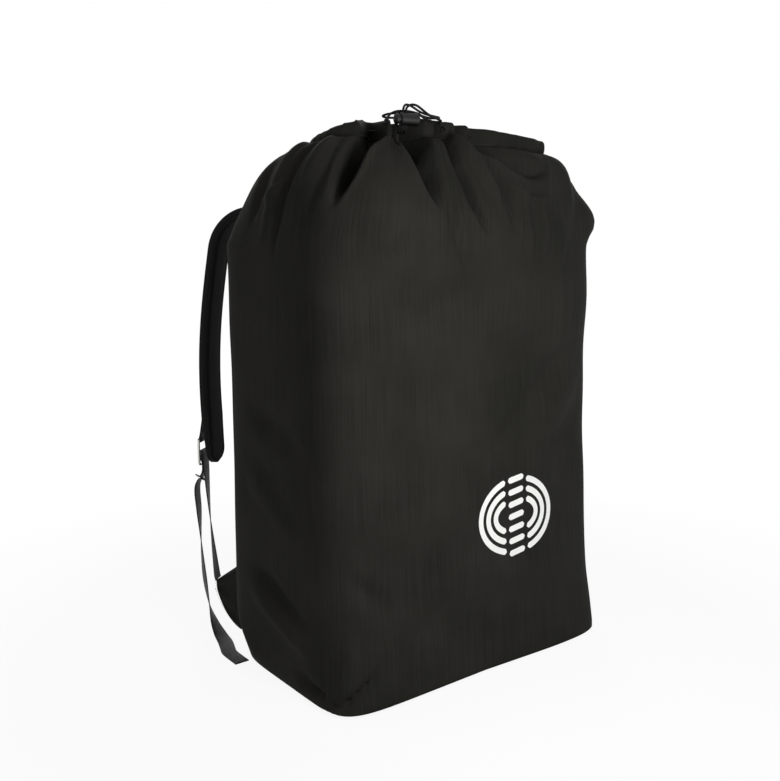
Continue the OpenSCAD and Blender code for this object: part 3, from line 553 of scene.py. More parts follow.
# Folds of the cloth: each runs through (station, height in mm) places, with its width and depth in mm,
# how blunt it is, and the share of its width that it takes on its left and right.
# Station 0 is the front left corner, 1 the front right one; negative ones are on the left side.
foldPlan = [
    # pockets beside the tongue under the cord
    ([(0.115, 717), (0.095, 714), (0.035, 703), (-0.008, 676), (-0.052, 646), (-0.085, 625)],
     30, 46, 1.9, (1.0, 0.24)),
    ([(0.25, 717), (0.262, 703), (0.285, 683), (0.308, 664), (0.332, 645), (0.355, 628)],
     31, 60, 1.9, (0.24, 1.15)),
    ([(0.195, 717), (0.198, 710), (0.215, 700)], 7, 12, 1.5, (0.7, 1.0)),
    # rolled edges of the tongue
    ([(0.150, 717), (0.128, 713), (0.066, 703), (0.022, 676), (-0.026, 645), (-0.055, 627)],
     10, -5, 1.7, (1, 1)),
    ([(0.18, 714), (0.212, 703), (0.236, 691), (0.262, 672), (0.29, 652), (0.315, 638)], 10, -6, 1.7, (1, 1)),
    # shade below the tongue
    ([(0.0, 645), (0.09, 615), (0.18, 590), (0.23, 620), (0.27, 645)], 26, 6, 1.8, (1, 1)),
    # left shoulder
    ([(-0.72, 712), (-0.64, 680), (-0.643, 640), (-0.66, 600)], 22, 8, 1.5, (1, 0.6)),
    ([(-0.643, 640), (-0.485, 655), (-0.418, 673), (-0.384, 685)], 14, -4, 1.6, (1, 0.6)),
    ([(-0.34, 712), (-0.373, 688), (-0.395, 667), (-0.418, 640), (-0.42, 605), (-0.44, 560)],
     17, 10, 1.5, (1, 0.5)),
    ([(-0.50, 714), (-0.50, 690), (-0.52, 640), (-0.55, 580)], 16, -5, 1.6, (1, 1)),
    ([(-0.16, 714), (-0.17, 690), (-0.20, 650), (-0.22, 600)], 16, 6, 1.7, (1, 1)),
    ([(-0.25, 715), (-0.27, 690), (-0.30, 640)], 12, -4, 1.7, (1, 1)),
    # folds from the straight part of the hem
    ([(0.425, 717), (0.425, 691), (0.445, 673), (0.464, 646), (0.491, 624), (0.53, 590)],
     17, 31, 1.7, (0.4, 1)),
    ([(0.40, 700), (0.405, 667), (0.405, 646), (0.418, 620), (0.445, 585)], 12, -7, 1.6, (1, 0.6)),
    ([(0.385, 660), (0.39, 620), (0.43, 570), (0.45, 530)], 15, 5, 1.6, (1, 0.7)),
    ([(0.475, 715), (0.515, 696), (0.54, 673), (0.565, 650), (0.58, 620)], 15, -11, 1.6, (1, 0.7)),
    ([(0.53, 717), (0.565, 696), (0.59, 670), (0.605, 645), (0.61, 600)], 16, 20, 1.6, (0.5, 1)),
    ([(0.62, 700), (0.65, 660), (0.66, 610), (0.69, 550)], 17, -9, 1.6, (1, 1)),
    # hollow facet under the hem's right end, with its sharp lower edge
    ([(0.60, 716), (0.68, 702), (0.76, 690), (0.84, 695)], 30, 24, 1.9, (0.7, 1)),
    ([(0.56, 697), (0.60, 672), (0.67, 650), (0.75, 651), (0.80, 655)], 11, -8, 1.6, (1, 1)),
    # ridge under the mouth's right corner, the slack facet beside it and the ear of the shoulder
    ([(0.86, 708), (0.82, 691), (0.785, 673), (0.755, 646), (0.735, 600), (0.73, 540)], 20, -9, 1.2, (1, 0.7)),
    ([(1.10, 710), (1.0, 670), (0.92, 620), (0.85, 560), (0.82, 500)], 46, 8, 1.7, (0.6, 1)),
    ([(1.34, 645), (1.18, 630), (1.06, 612), (1.0, 585)], 46, -15, 1.8, (1, 1)),
    # soft drag lines over the front and left side
    ([(0.94, 460), (0.80, 420), (0.68, 370), (0.49, 290)], 34, 8, 1.9, (1, 0.7)),
    ([(0.97, 420), (0.82, 360), (0.70, 300), (0.58, 240)], 30, -5, 1.9, (1, 1)),
    ([(0.95, 360), (0.84, 310), (0.74, 240)], 26, 4, 1.9, (1, 0.7)),
    ([(0.10, 560), (0.30, 520), (0.48, 530)], 40, 4, 1.9, (1, 1)),
    ([(-0.79, 377), (-0.38, 341), (-0.08, 300)], 30, 8, 1.9, (1, 0.7)),
    ([(-0.85, 300), (-0.55, 250), (-0.25, 200)], 30, -4, 1.9, (1, 1)),
    # creases over the left foot
    ([(-0.78, 150), (-0.55, 135), (-0.38, 112), (-0.20, 100), (-0.05, 94)], 22, 13, 1.7, (1, 0.6)),
    ([(-0.80, 120), (-0.50, 98), (-0.28, 74), (-0.10, 66)], 20, -9, 1.7, (1, 1)),
    ([(-0.02, 184), (0.10, 150), (0.19, 126)], 22, 10, 1.8, (1, 0.7)),
    ([(0.18, 90), (0.34, 140), (0.50, 150)], 26, -4, 1.8, (1, 1)),
    ([(-0.36, 30), (-0.22, 26), (-0.08, 20)], 15, 12, 1.5, (1, 0.6)),
    ([(-0.16, 6), (-0.02, 22), (0.10, 48), (0.17, 72)], 15, 13, 1.5, (1, 0.6)),
    ([(-0.10, 18), (0.02, 40), (0.10, 66), (0.15, 86)], 11, -5, 1.5, (1, 1)),
    ([(-0.06, 20), (-0.02, 60), (0.0, 120)], 18, -4, 1.6, (1, 1)),
]


def foldDepth(grid, normals, fold):
    places, width, depth, sharpness, sides = fold
    line = smoothLine(np.array([(s, z / 1000) for s, z in places]), 0.004)
    line = evenLine(skin(*line.T), 0.004)
    heading = tangents(line)
    along = lineLengths(line) / lineLengths(line)[-1]
    startsAtHem = places[0][1] > 709
    taper = smoothStep(1 - along, 0, 0.45) * (1 if startsAtHem else smoothStep(along, 0, 0.35))
    width, depth = width / 1000, depth / 1000
    near = np.all((grid > line.min(0) - width) & (grid < line.max(0) + width), axis=-1)
    result = np.zeros(grid.shape[:2])
    points = grid[near]
    if len(points):
        gaps = np.linalg.norm(points[:, None] - line[None], axis=2)
        nearest = np.argmin(gaps, axis=1)
        offside = np.sum(np.cross(heading[nearest], points - line[nearest]) * normals[near], axis=1)
        reach = width * np.where(offside > 0, sides[1], sides[0]) * (0.45 + 0.55 * taper[nearest])
        share = np.clip(gaps[np.arange(len(points)), nearest] / reach, 0, 1)
        result[near] = depth * taper[nearest] * (1 - share**sharpness) ** 2
    return result


def easeGrid(grid):
    # eases every place of the sculpted wall towards its neighbours, all but the base
    eased = (np.roll(grid, 1, 1) + np.roll(grid, -1, 1) + 2 * grid) / 4
    eased[1:-1] = (eased[:-2] + 2 * eased[1:-1] + eased[2:]) / 4
    low = smoothStep(rowAlong, 0.02, 0.08)[:, None, None]
    return grid * (1 - low) + eased * low


def sculptShell(grid):
    normals = gridNormals(grid)
    depth = sum(foldDepth(grid, normals, fold) for fold in foldPlan)
    # small gathers round the hem, smoother on the front left
    dice = np.random.default_rng(4)
    rise = hemFoot - grid[..., 2]
    wave = np.zeros(columnCount)
    for count in (31, 43, 58):
        wave += np.sin(columnAlong / girth * 2 * math.pi * count + dice.uniform(0, 6.3)) / 3
    strength = np.interp(columnStation, bagPlan["gatherStations"], bagPlan["gathers"]) / 1000
    depth = depth + wave[None] * strength[None] * np.exp(-np.maximum(rise, 0) / 0.05)
    # slow unevenness of the filling
    swell = np.zeros(grid.shape[:2])
    for _ in range(9):
        frequency = dice.uniform(-14, 14, 3)
        swell += np.sin(grid @ frequency + dice.uniform(0, 6.3)) / 9
    depth = depth + 0.004 * swell * smoothStep(grid[..., 2], 0.02, 0.15) * smoothStep(rise, 0.0, 0.06)
    # soft crumples of the cloth, longer along one slanting way
    crumple = np.zeros(grid.shape[:2])
    for _ in range(14):
        speed = dice.uniform(22, 64)
        frequency = speed * unit(vec(dice.uniform(-1, 1), dice.uniform(-1, 1), dice.uniform(-1.6, 1.6)))
        crumple += np.sin(grid @ frequency + dice.uniform(0, 6.3)) / 4
    depth = depth + 0.0011 * crumple * smoothStep(grid[..., 2], 0.02, 0.10) * smoothStep(rise, 0.0, 0.05)
    # the back stays flat where the straps are sewn on
    backCover = smoothStep(grid[..., 1], 0.105, 0.125)
    grid = easeGrid(grid - normals * (depth * (1 - backCover))[..., None])
    lift = np.interp(columnStation, bagPlan["liftStations"], bagPlan["lift"]) / 1000
    grid[..., 2] += lift[None] * smoothStep(rowAlong, rowAlong[-1] - 0.09, rowAlong[-1])[:, None]
    return grid


shellGrid = sculptShell(shellGrid)
print("bag shell", shellGrid.shape[:2])


def thicken(piece, thickness):
    # gives an open sheet its thickness inwards, as a plain mesh
    solid = piece.modifiers.new("thickness", "SOLIDIFY")
    solid.thickness = thickness
    solid.offset = -1
    mesh = bakedMesh(piece)
    piece.modifiers.clear()
    old = piece.data
    piece.data = mesh
    bpy.data.meshes.remove(old)
    mesh.name = piece.name


def solidSheet(name, grid, uv, thickness, material):
    rows, columns = grid.shape[:2]
    faces, corners = gridFaces(rows, columns)
    cloth = np.stack([uv[i, j] for i, j in corners], 1).reshape(-1, 2)
    piece = newPiece(name, grid.reshape(-1, 3), faces, material, cloth)
    thicken(piece, thickness)
    piece.data.set_sharp_from_angle(angle=math.radians(60))
    return piece


clothMap = clothGrid(columnAlong, rowAlong)
sheetNames = [("frontPanel", "front_panel"), ("rightPanel", "side_panel_right"),
              ("backPanel", "back_panel"), ("leftPanel", "side_panel_left")]
cornerColumns = [int(round(length / girth * columnCount)) for length in cornerLengths]
panels = []
for index, (name, node) in enumerate(sheetNames):
    first, last = cornerColumns[index], cornerColumns[index + 1]
    columns = np.arange(first, last + 1) % columnCount
    cloth = clothMap[:, columns].copy()
    if last == columnCount:
        cloth[:, -1, 0] = girth
    panel = solidSheet(name, shellGrid[:, columns], cloth, bagPlan["clothThickness"], bagCloth)
    finishPiece(panel, "bag", "bag_fabric", node)
    panels.append(panel)

# base: the bottom ring filled with rings of cloth
baseRings = 12
ring = shellGrid[0]
centre = ring.mean(0)
baseGrid = np.stack([centre + (ring - centre) * share for share in np.linspace(1, 0.02, baseRings)])
baseGrid[..., 2] = 0.0
faces = gridFaces(baseRings, columnCount, closedColumns=True)[0][:, ::-1].tolist()
basePoints = baseGrid.reshape(-1, 3)
faces.append([(baseRings - 1) * columnCount + j for j in range(columnCount)][::-1])
baseUv = [basePoints[v, :2] for face in faces for v in face]
base = newPiece("basePanel", basePoints, faces, bagCloth, baseUv)
thicken(base, bagPlan["clothThickness"])
finishPiece(base, "bag", "bag_fabric", "base_panel")
print("panels ready")


# ---- hem and drawcord ----
hemPlan = {
    "width": 0.025, "bulge": 0.0026, "layer": 0.0012, "cordDiameter": 0.003,
    "buttonhole": (-0.08288, -0.07236),
    "stations": (0, 0.10, 0.35, 0.9, 1.2, 2.0, 2.9, 3.3, 3.8, 4),  # round the mouth
    "lean": (7, 3, 2, -1, 1, 7, 8, 8, 9, 7),  # mm that its top edge leans in
    "rise": (23, 25, 25, 22, 19, 24, 23, 15, 19, 23),  # mm that its top edge stands over its foot
}
hemRing = shellGrid[-1].copy()
hemAround = unit(np.roll(hemRing, -1, 0) - np.roll(hemRing, 1, 0))
hemOut = unit(np.stack([hemAround[:, 1], -hemAround[:, 0], np.zeros(columnCount)], 1))
hemLean = np.interp(columnStation, hemPlan["stations"], hemPlan["lean"]) / 1000
hemRise = np.interp(columnStation, hemPlan["stations"], hemPlan["rise"]) / 1000
hemSteps = 10
hemSection = []
for step in range(hemSteps + 1):
    share = step / hemSteps
    puff = hemPlan["layer"] + (hemPlan["bulge"] - hemPlan["layer"]) * float(smoothStep(share, 0.12, 0.5))
    hemSection.append((puff * math.sqrt(1 - max(0, (share - 0.6) / 0.4) ** 2), share))
hemSection = np.array(hemSection + [(-off, share) for off, share in hemSection[-2::-1]])


def onHem(off, share):
    # a place on the hem at every column: off its middle, at a share of its height
    lean = hemLean[:, None] * share[None] ** 1.4
    place = hemRing[:, None] + hemOut[:, None] * (off[None] - lean - 0.0005)[..., None]
    place[..., 2] += hemRise[:, None] * share[None] - 0.0006
    return place


hemPoints = onHem(hemSection[:, 0], hemSection[:, 1])
faces, corners = gridFaces(columnCount, len(hemSection), True, True)
hemLoop = hemSection * [1, hemPlan["width"]]
hemLength = lineLengths(np.vstack([hemLoop, hemLoop[:1]]))
hemAlong = np.append(columnAlong, girth)
hemUv = clothUv([(j, i) for i, j in corners], hemAlong, hemLength)
hem = newPiece("mouthHem", hemPoints.reshape(-1, 3), faces, hemCloth, hemUv)
finishPiece(hem, "bag", "bag_fabric", "mouth_hem")
# the drawcord runs in the hem and its two ends come out through the buttonhole to the lock
lace = int(np.argmin(np.linalg.norm(hemRing[:, :2] - np.array(hemPlan["buttonhole"]), axis=1)))
tunnel = onHem(vec(0.0), vec(0.5))[:, 0]
around = np.roll(tunnel, -lace, axis=0)
margin = int(0.006 / bagPlan["cell"])
around = around[margin:-margin:4]
around[1:-1] = (around[:-2] + 2 * around[1:-1] + around[2:]) / 4


def strandLine(side):
    # one end of the cord, from the hem up through the lock
    out = side * cordPlan["strandGap"] / 2
    return fromLock([(side * 0.003, 0.0092, -0.0155), (out, 0.0055, -0.015), (out, 0.0015, -0.013),
                     (out, 0, -0.0095), (out, 0, -0.004), (out, 0, cordPlan["strandEnd"])])


cordLine = smoothLine(np.vstack([strandLine(right)[::-1], around, strandLine(left)]), 0.002)
drawcord = sweep("drawcord", cordLine, carriedSides(cordLine),
                 roundSection(hemPlan["cordDiameter"] / 2, 12), cordYarn)
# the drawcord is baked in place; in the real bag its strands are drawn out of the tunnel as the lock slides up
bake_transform(drawcord)
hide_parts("drawcord")
# one row of stitches holds the tunnel's foot
hemFootRow = onHem(vec(hemPlan["layer"] + 0.0002), vec(0.10))[:, 0]
sew("hemStitches", [np.vstack([hemFootRow, hemFootRow[:1]])], "bag")
print("hem and drawcord ready")


# ---- straps ----
strapPlan = {
    "width": 0.062, "thickness": 0.012, "tip": 0.006, "reach": 0.138, "drop": 0.330, "arch": 0.066,
    "bow": 0.013, "splay": 40.0, "binding": 0.004, "seam": 0.003, "tape": (0.0096, 0.003), "mesh": 0.001,
    "channel": 0.0085,  # inset of the sewn channel from the strap's edge
    "webWidth": 0.022, "webThickness": 0.0015, "wire": 0.004, "barPitch": 0.019, "railPlay": 0.0015,
    "buckleOut": 0.017, "buckleRise": 0.034,
}
splay = math.radians(strapPlan["splay"])
rootLength = strapPlan["width"] / 2 * math.tan(splay) + 0.006
archEnd = math.radians(11)
hangX = strapPlan["reach"] - 0.014
hangY = strapPlan["arch"] * (math.sin(archEnd) - 1)
archSide = hangX - strapPlan["arch"] * math.cos(archEnd)
footY = hangY - strapPlan["drop"]
barPlace = vec(strapPlan["reach"] + strapPlan["thickness"] / 2 + strapPlan["buckleOut"],
               footY + strapPlan["buckleRise"])


def hanging(share):
    bow = strapPlan["bow"] * math.sin(math.pi * share)
    return vec(hangX + (strapPlan["reach"] - hangX) * share + bow, hangY - strapPlan["drop"] * share)


def padHalf(height):
    thin = np.clip((footY + 0.070 - height) / 0.055, 0, 1)
    return strapPlan["thickness"] / 2 - (strapPlan["thickness"] - strapPlan["tip"]) / 2 * thin


def strapFrame(side):
    seam = np.array(joints["strap_" + sideNames[side] + "_swing"]["pos_m"])
    outward = vec(side * math.sin(splay), math.cos(splay), 0)
    across = vec(math.cos(splay), -side * math.sin(splay), 0)
    return seam, outward, across


def fromStrap(side, flatPoints, offset=0.0):
    # places in a strap's own plane, x off the seam and y up, brought into the bag's frame
    seam, outward, across = strapFrame(side)
    flatPoints = np.asarray(flatPoints, float)
    return seam + flatPoints[..., :1] * outward + flatPoints[..., 1:2] * vec(0, 0, 1.0) + offset * across


strapLine = [(rootLength + (archSide - rootLength) * s, 0) for s in np.linspace(0, 1, 6)]
strapLine += [(archSide + strapPlan["arch"] * math.cos(a), -strapPlan["arch"] + strapPlan["arch"] * math.sin(a))
              for a in np.linspace(math.radians(88), archEnd, 16)]
strapLine += [tuple(hanging(s)) for s in np.linspace(0, 1, 40)[1:]]
strapLine = evenLine(np.array(strapLine), 0.004)
strapHeading = tangents(strapLine)
strapUp = np.stack([-strapHeading[:, 1], strapHeading[:, 0]], 1)
halfWidth = strapPlan["width"] / 2
tipHeight = footY + 0.6 * halfWidth
tipShare = np.clip((tipHeight - strapLine[:, 1]) / (0.6 * halfWidth), 0, 0.995)
outlineHalf = halfWidth * np.sqrt(1 - tipShare**2)


def strapSurface(side, shares, lift):
    # points over the strap: shares across from -1 to 1, lift off its middle by a function
    half, thick = outlineHalf[:, None], padHalf(strapLine[:, 1:])
    inner = np.maximum(half - strapPlan["binding"] * 0.4, 0.0015)
    places = strapLine[:, None] + strapUp[:, None] * lift(thick, shares, half)[..., None]
    return fromStrap(side, places, (inner * shares)[..., None])


def crown(thick, c, half):
    edge = 0.62 * thick
    channel = 0.0009 * np.exp(-((abs(c) * half - (half - strapPlan["channel"])) / 0.0016) ** 2)
    return edge + (thick - edge) * (1 - abs(c) ** 3.2) - channel


shares = np.linspace(-1, 1, 27)
alongStrap = lineLengths(strapLine)
for side, name in sideNames.items():
    label = name.capitalize()
    seam, outward, across = strapFrame(side)
    # padded body with its face cloth
    top = strapSurface(side, shares, crown)
    bottom = strapSurface(side, shares[::-1], lambda t, c, h: -crown(t, c, h) + 0.0012)
    loops = np.concatenate([top, bottom], 1)
    ringLength = np.linspace(0, 2 * strapPlan["width"], loops.shape[1] + 1)
    pad = loft("strapPad" + label, loops, ringLength, alongStrap, strapCloth)
    finishPiece(pad, "strap_" + name, "strap_fabric", "strap_cover_" + name, "strap_foam_" + name)
    # mesh lining on the wearer's side
    lining = strapSurface(side, shares[::-1], lambda t, c, h: -crown(t, c, h))
    cloth = clothGrid(np.linspace(0, strapPlan["width"], len(shares)), alongStrap)
    mesh = solidSheet("strapMesh" + label, lining, cloth, strapPlan["mesh"], spacerMesh)
    finishPiece(mesh, "strap_" + name, "strap_mesh", "strap_lining_" + name)
    # edge binding round both long sides and the tip
    order = np.append(np.arange(len(strapLine)), np.arange(len(strapLine))[::-1])
    way = np.repeat([-1, 1], len(strapLine))
    edge = fromStrap(side, strapLine[order], (way * np.maximum(outlineHalf[order] - 0.0015, 0))[:, None])
    upward = strapUp[order, :1] * outward + strapUp[order, 1:] * vec(0, 0, 1)
    tape = sweep("strapBinding" + label, edge, upward, flatSection(*strapPlan["tape"]),
                 bindingTape, widths=padHalf(strapLine[order, 1]) / (strapPlan["thickness"] / 2))
    finishPiece(tape, "strap_" + name, "binding_tape", "strap_binding_" + name)
    # sewn root between the seam and the padding, gathered at the seam
    turn = evenTurn(28)
    c, lift = np.sign(np.cos(turn)) * np.abs(np.cos(turn)) ** 0.45, np.sin(turn)
    seamRing = seam + np.stack([c * halfWidth, 0 * c, lift * strapPlan["seam"] / 2], 1)
    padRing = fromStrap(side, np.stack([0 * c + rootLength, lift * 0.0055], 1),
                        c[:, None] * (halfWidth - 0.001))
    share = np.linspace(0, 1, 12)[:, None, None]
    root = seamRing * (1 - share) + padRing * share
    root[..., 2] += 0.0007 * np.sin(c * 21) * (1 - share[..., 0]) * np.where(lift > 0, 1, 0.4)
    rootPiece = loft("strapRoot" + label, root, 0.005 * np.arange(29), 0.003 * np.arange(12), strapCloth,
                     flip=side == right)
    finishPiece(rootPiece, "strap_" + name, "strap_fabric", "strap_root_" + name)
    # webbing tab that loops round the buckle's top bar
    webHalf = strapPlan["webThickness"] / 2
    eye = strapPlan["wire"] / 2 + 0.00015 + webHalf
    lay = [hanging(s) + vec(padHalf(hanging(s)[1]) + 3 * webHalf, 0) for s in (0.6, 0.66, 0.72)]
    neck = barPlace + vec(-0.003, 0.016)
    toward = math.atan2(0.016, -0.003)
    outer = lay + [neck + vec(0.0008, 0)]
    bend = [barPlace + eye * vec(math.cos(a), math.sin(a))
            for a in np.linspace(toward - 0.5, toward + 0.5 - 2 * math.pi, 16)]
    inner = [neck - vec(0.0008, 0)] + [p - vec(2 * webHalf + 0.0002, 0) for p in lay[::-1]]
    tabLine = smoothLine(fromStrap(side, np.array(outer + bend + inner)), 0.0015)
    tab = sweep("strapTab" + label, tabLine, np.tile(across, (len(tabLine), 1)),
                flatSection(strapPlan["webWidth"], strapPlan["webThickness"]), webbingYarn)
    finishPiece(tab, "strap_" + name, "grey_webbing", "strap_tab_" + name)
    rows = []
    inset = (halfWidth - strapPlan["channel"]) / (halfWidth - strapPlan["binding"] * 0.4)
    for c in (-inset, inset):
        row = strapSurface(side, vec(c), lambda t, share, h: crown(t, share, h) + 0.0001)[:, 0]
        rows.append(row[:int(len(row) * 0.93)])
    # sewn box with one diagonal that holds the tab
    boxHalf = strapPlan["webWidth"] / 2 - 0.002
    ends = [(-1, 0.004), (1, 0.004), (1, 0.024), (-1, 0.024), (-1, 0.004), (1, 0.024)]
    drop = unit(lay[2] - lay[0])
    over = vec(drop[1], -drop[0]) * -(webHalf + 0.0001)
    box = np.array([fromStrap(side, lay[0] + drop * fall + over, c * boxHalf) for c, fall in ends])
    rows.append(evenLine(box, 0.001))
    sew("strapStitches" + label, rows, "strap_" + name)
print("straps ready")


# ---- buckles ----
for side, name in sideNames.items():
    label = name.capitalize()
    outward, across = strapFrame(side)[1:]
    reach = strapPlan["webWidth"] / 2 + strapPlan["railPlay"] + strapPlan["wire"] / 2
    corner, lowBar = 0.005, -2 * strapPlan["barPitch"]
    outline = []
    for cx, cy, start in ((reach, 0, 0), (-reach, 0, 90), (-reach, lowBar, 180), (reach, lowBar, 270)):
        middle = vec(cx - math.copysign(corner, cx), cy - (corner if cy == 0 else -corner))
        for a in np.linspace(math.radians(start), math.radians(start + 90), 7):
            outline.append(middle + corner * vec(math.cos(a), math.sin(a)))
    frameLine = np.array([fromStrap(side, barPlace + vec(0, y), x) for x, y in outline])
    wire = roundSection(strapPlan["wire"] / 2, 12)
    buckle = sweep("slideBuckle" + label, frameLine, np.tile(outward, (len(frameLine), 1)), wire,
                   nickelWire, closedPath=True)
    bar = fromStrap(side, barPlace - vec(0, strapPlan["barPitch"]),
                    np.linspace(-reach, reach, 9)[:, None])
    middleBar = sweep("slideBar" + label, bar, np.tile(outward, (len(bar), 1)), wire, nickelWire)
    finishPiece(buckle, "buckle_" + name, "nickel_steel", "buckle_" + name)
    finishPiece(middleBar, "buckle_" + name, "nickel_steel")
print("buckles ready")


# ---- wings and adjuster webbing ----
webPlan = {
    "wingHeight": 0.087, "wingThickness": 0.0024, "split": 0.195, "held": 0.245,
    "wingAt": 0.2245,  # the tail's places are laid out for a wing at this x
    "tail": [
        ((0.223, 0.262, 0.215), (0.75, -0.66, 0)), ((0.226, 0.254, 0.180), (0.7, -0.7, 0)),
        ((0.230, 0.243, 0.145), (0.5, -0.87, 0)), ((0.234, 0.231, 0.110), (0.3, -0.95, 0)),
        ((0.237, 0.218, 0.075), (0.2, -0.98, 0)), ((0.239, 0.202, 0.043), (0.4, -0.8, 0.4)),
        ((0.239, 0.186, 0.020), (0.8, -0.4, 0.4)), ((0.239, 0.168, 0.006), (1, 0, 0.2)),
        ((0.241, 0.150, 0.001), (1, 0.1, 0)), ((0.247, 0.132, 0.0008), (1, 0.2, 0)),
        ((0.253, 0.114, 0.0008), (1, 0.1, 0)), ((0.254, 0.094, 0.0008), (1, 0, 0)),
        ((0.254, 0.074, 0.0008), (1, 0, 0)),
    ],
}
for side, name in sideNames.items():
    label = name.capitalize()
    across = strapFrame(side)[2]
    lowWing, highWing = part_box("wing_" + name)
    wingX = (lowWing.x + highWing.x) / 2
    top = vec(wingX, lowWing.y, highWing.z)
    foot = vec(wingX, lowWing.y, lowWing.z - 0.014)
    tip = vec(wingX, highWing.y, lowWing.z + webPlan["wingHeight"] - 0.047)
    edgeDirection = unit(tip - top)
    leave = vec(0, -edgeDirection[2], edgeDirection[1])
    # folded gusset: a fan of cloth from the seam to the webbing's end
    s = np.linspace(0, 1, 26)[:, None, None]
    t = np.linspace(0, 1, 22)[:, None]
    low = foot * (1 - s) + (tip - vec(0, 0.002, 0.014)) * s
    low = low + np.sin(math.pi * s) ** 0.8 * vec(0, 0.006, -0.010)
    grid = low * (1 - t) + (top * (1 - s) + tip * s) * t
    grid[..., 0] += (0.0016 * np.sin(t * 15) * (1 - s) ** 0.6 * np.minimum(1, 6 * s))[..., 0] + 0.0012
    wing = solidSheet("wing" + label, grid, grid[..., 1:], webPlan["wingThickness"], hemCloth)
    finishPiece(wing, "bag", "bag_fabric", "wing_" + name)
    faceSide, backSide = vec(0.0002, 0, 0), vec(-0.0002 - webPlan["wingThickness"], 0, 0)
    wingRows = [row + shift for shift in (faceSide, backSide)
                for row in (grid[1:, 1], grid[1:, 20], grid[24, 1:21])]
    sew("wingStitches" + label, wingRows, "bag")
    # threaded webbing: from the wing up behind the buckle, over its middle bar and down again
    webHalf = strapPlan["webThickness"] / 2
    wrap = strapPlan["wire"] / 2 + 0.0003 + webHalf
    layer = strapPlan["webThickness"] + 0.0004
    mid, low = [barPlace - vec(0, strapPlan["barPitch"] * count) for count in (1, 2)]
    start = tip - strapPlan["webWidth"] / 2 * edgeDirection + 0.0002 * leave
    clear = start + 0.006 * leave
    behind = fromStrap(side, low + vec(-wrap - layer, -0.002))
    line, widths = [start], [edgeDirection]
    for s in np.linspace(0, 1, 9):
        line.append(clear + s * (behind - clear) + vec(0, 0.004 * math.sin(math.pi * s), 0))
        widths.append(unit((1 - s) * edgeDirection + s * across))
    threaded = [low + vec(-wrap - layer, 0.006)]
    threaded += [mid + wrap * vec(math.cos(a), math.sin(a)) for a in np.linspace(math.pi, 0, 9)]
    threaded += [mid + vec(wrap - 0.0006, -0.0063), mid + vec(-0.0004, -0.0118),
                 low + vec(-wrap, 0.003), low + vec(-wrap, -0.003),
                 low + vec(-wrap + 0.0015, -0.014)]
    for p in threaded:
        line.append(fromStrap(side, p))
        widths.append(across)
    shiftFull = abs(wingX) - webPlan["wingAt"]
    for i, (p, w) in enumerate(webPlan["tail"]):
        line.append(vec(side * (p[0] + min(1, i / 4) * shiftFull), p[1], p[2]))
        widths.append(unit(vec(side * w[0], w[1], w[2])))
    line, widths = np.array(line), np.array(widths)
    both = smoothLine(np.hstack([line, widths]), 0.004)
    path, spread = both[:, :3], unit(both[:, 3:])
    # the part through the buckle and the parts below it are made as separate pieces, all fixed in place
    above = np.where(path[:, 2] > webPlan["split"])[0]
    first, last = above[0], above[-1]
    band = flatSection(strapPlan["webWidth"], strapPlan["webThickness"])
    threadedPart, *lower = [
        sweep(title + label, path[part], spread[part], band, webbingYarn)
        for title, part in (("webbingThreaded", slice(first, last + 1)), ("webbing", slice(first + 1)),
                            ("webbingTail", slice(last, None)))]
    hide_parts("webbing_" + name)
    for piece in lower:
        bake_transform(piece)
    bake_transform(threadedPart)
print("webbing ready")


# ---- strip on the back and haul loop ----
anchorPlan = {"stations": (2.167, 2.833), "low": 0.590, "high": 0.6657, "thickness": 0.0023, "fold": 0.0004}
anchorStations = np.linspace(*anchorPlan["stations"], 90)
anchorHeights = np.linspace(anchorPlan["low"], anchorPlan["high"], 22)
anchor = skin(anchorStations[None, :], anchorHeights[:, None])
anchorNormals = unit(np.cross(np.gradient(anchor, axis=1), np.gradient(anchor, axis=0)))
cloth = clothGrid(lineLengths(anchor[0]), anchorHeights)
# its long edges are folded under, four rows wide
folded = np.where(np.minimum(np.arange(22), np.arange(22)[::-1]) < 4, anchorPlan["fold"], 0)
single = anchorPlan["thickness"] - anchorPlan["fold"]
anchorTop = anchor + anchorNormals * (single + folded)[:, None, None]
strip = solidSheet("strapAnchor", anchorTop, cloth, single, strapCloth)
finishPiece(strip, "bag", "strap_fabric", "strap_anchor")

haulPlan = {"width": 0.025, "thickness": 0.0025, "length": 0.105, "gap": 0.028, "lean": 14.0, "sewn": 0.006}
haulHalf = haulPlan["thickness"] / 2
haulBow = haulPlan["gap"] / 2 + haulHalf
haulFall = haulPlan["length"] - haulBow
haulLine = [(haulHalf, 0.001), (haulHalf, -0.003)]
for s in np.linspace(0, 1, 12):
    haulLine.append((haulHalf + haulPlan["gap"] * (1 - math.cos(math.pi * s)) / 2,
                     -haulPlan["sewn"] - (haulFall - haulPlan["sewn"]) * s))
for a in np.linspace(math.radians(-12), -math.pi, 14):
    haulLine.append((haulBow - haulHalf + haulBow * math.cos(a), -haulFall + haulBow * math.sin(a)))
haulLine += [(-haulHalf, z) for z in (-0.06, -0.03, -haulPlan["sewn"], 0.001)]
haulLine = smoothLine(np.array([(0, y, z) for y, z in haulLine]), 0.0025)
lean = math.radians(haulPlan["lean"])
haulRoot = np.array(joints["haul_loop_swing"]["pos_m"])


def fromHaul(points):
    points = np.asarray(points, float)
    return haulRoot + np.stack([points[:, 0], points[:, 1] * math.cos(lean) - points[:, 2] * math.sin(lean),
                                points[:, 1] * math.sin(lean) + points[:, 2] * math.cos(lean)], 1)


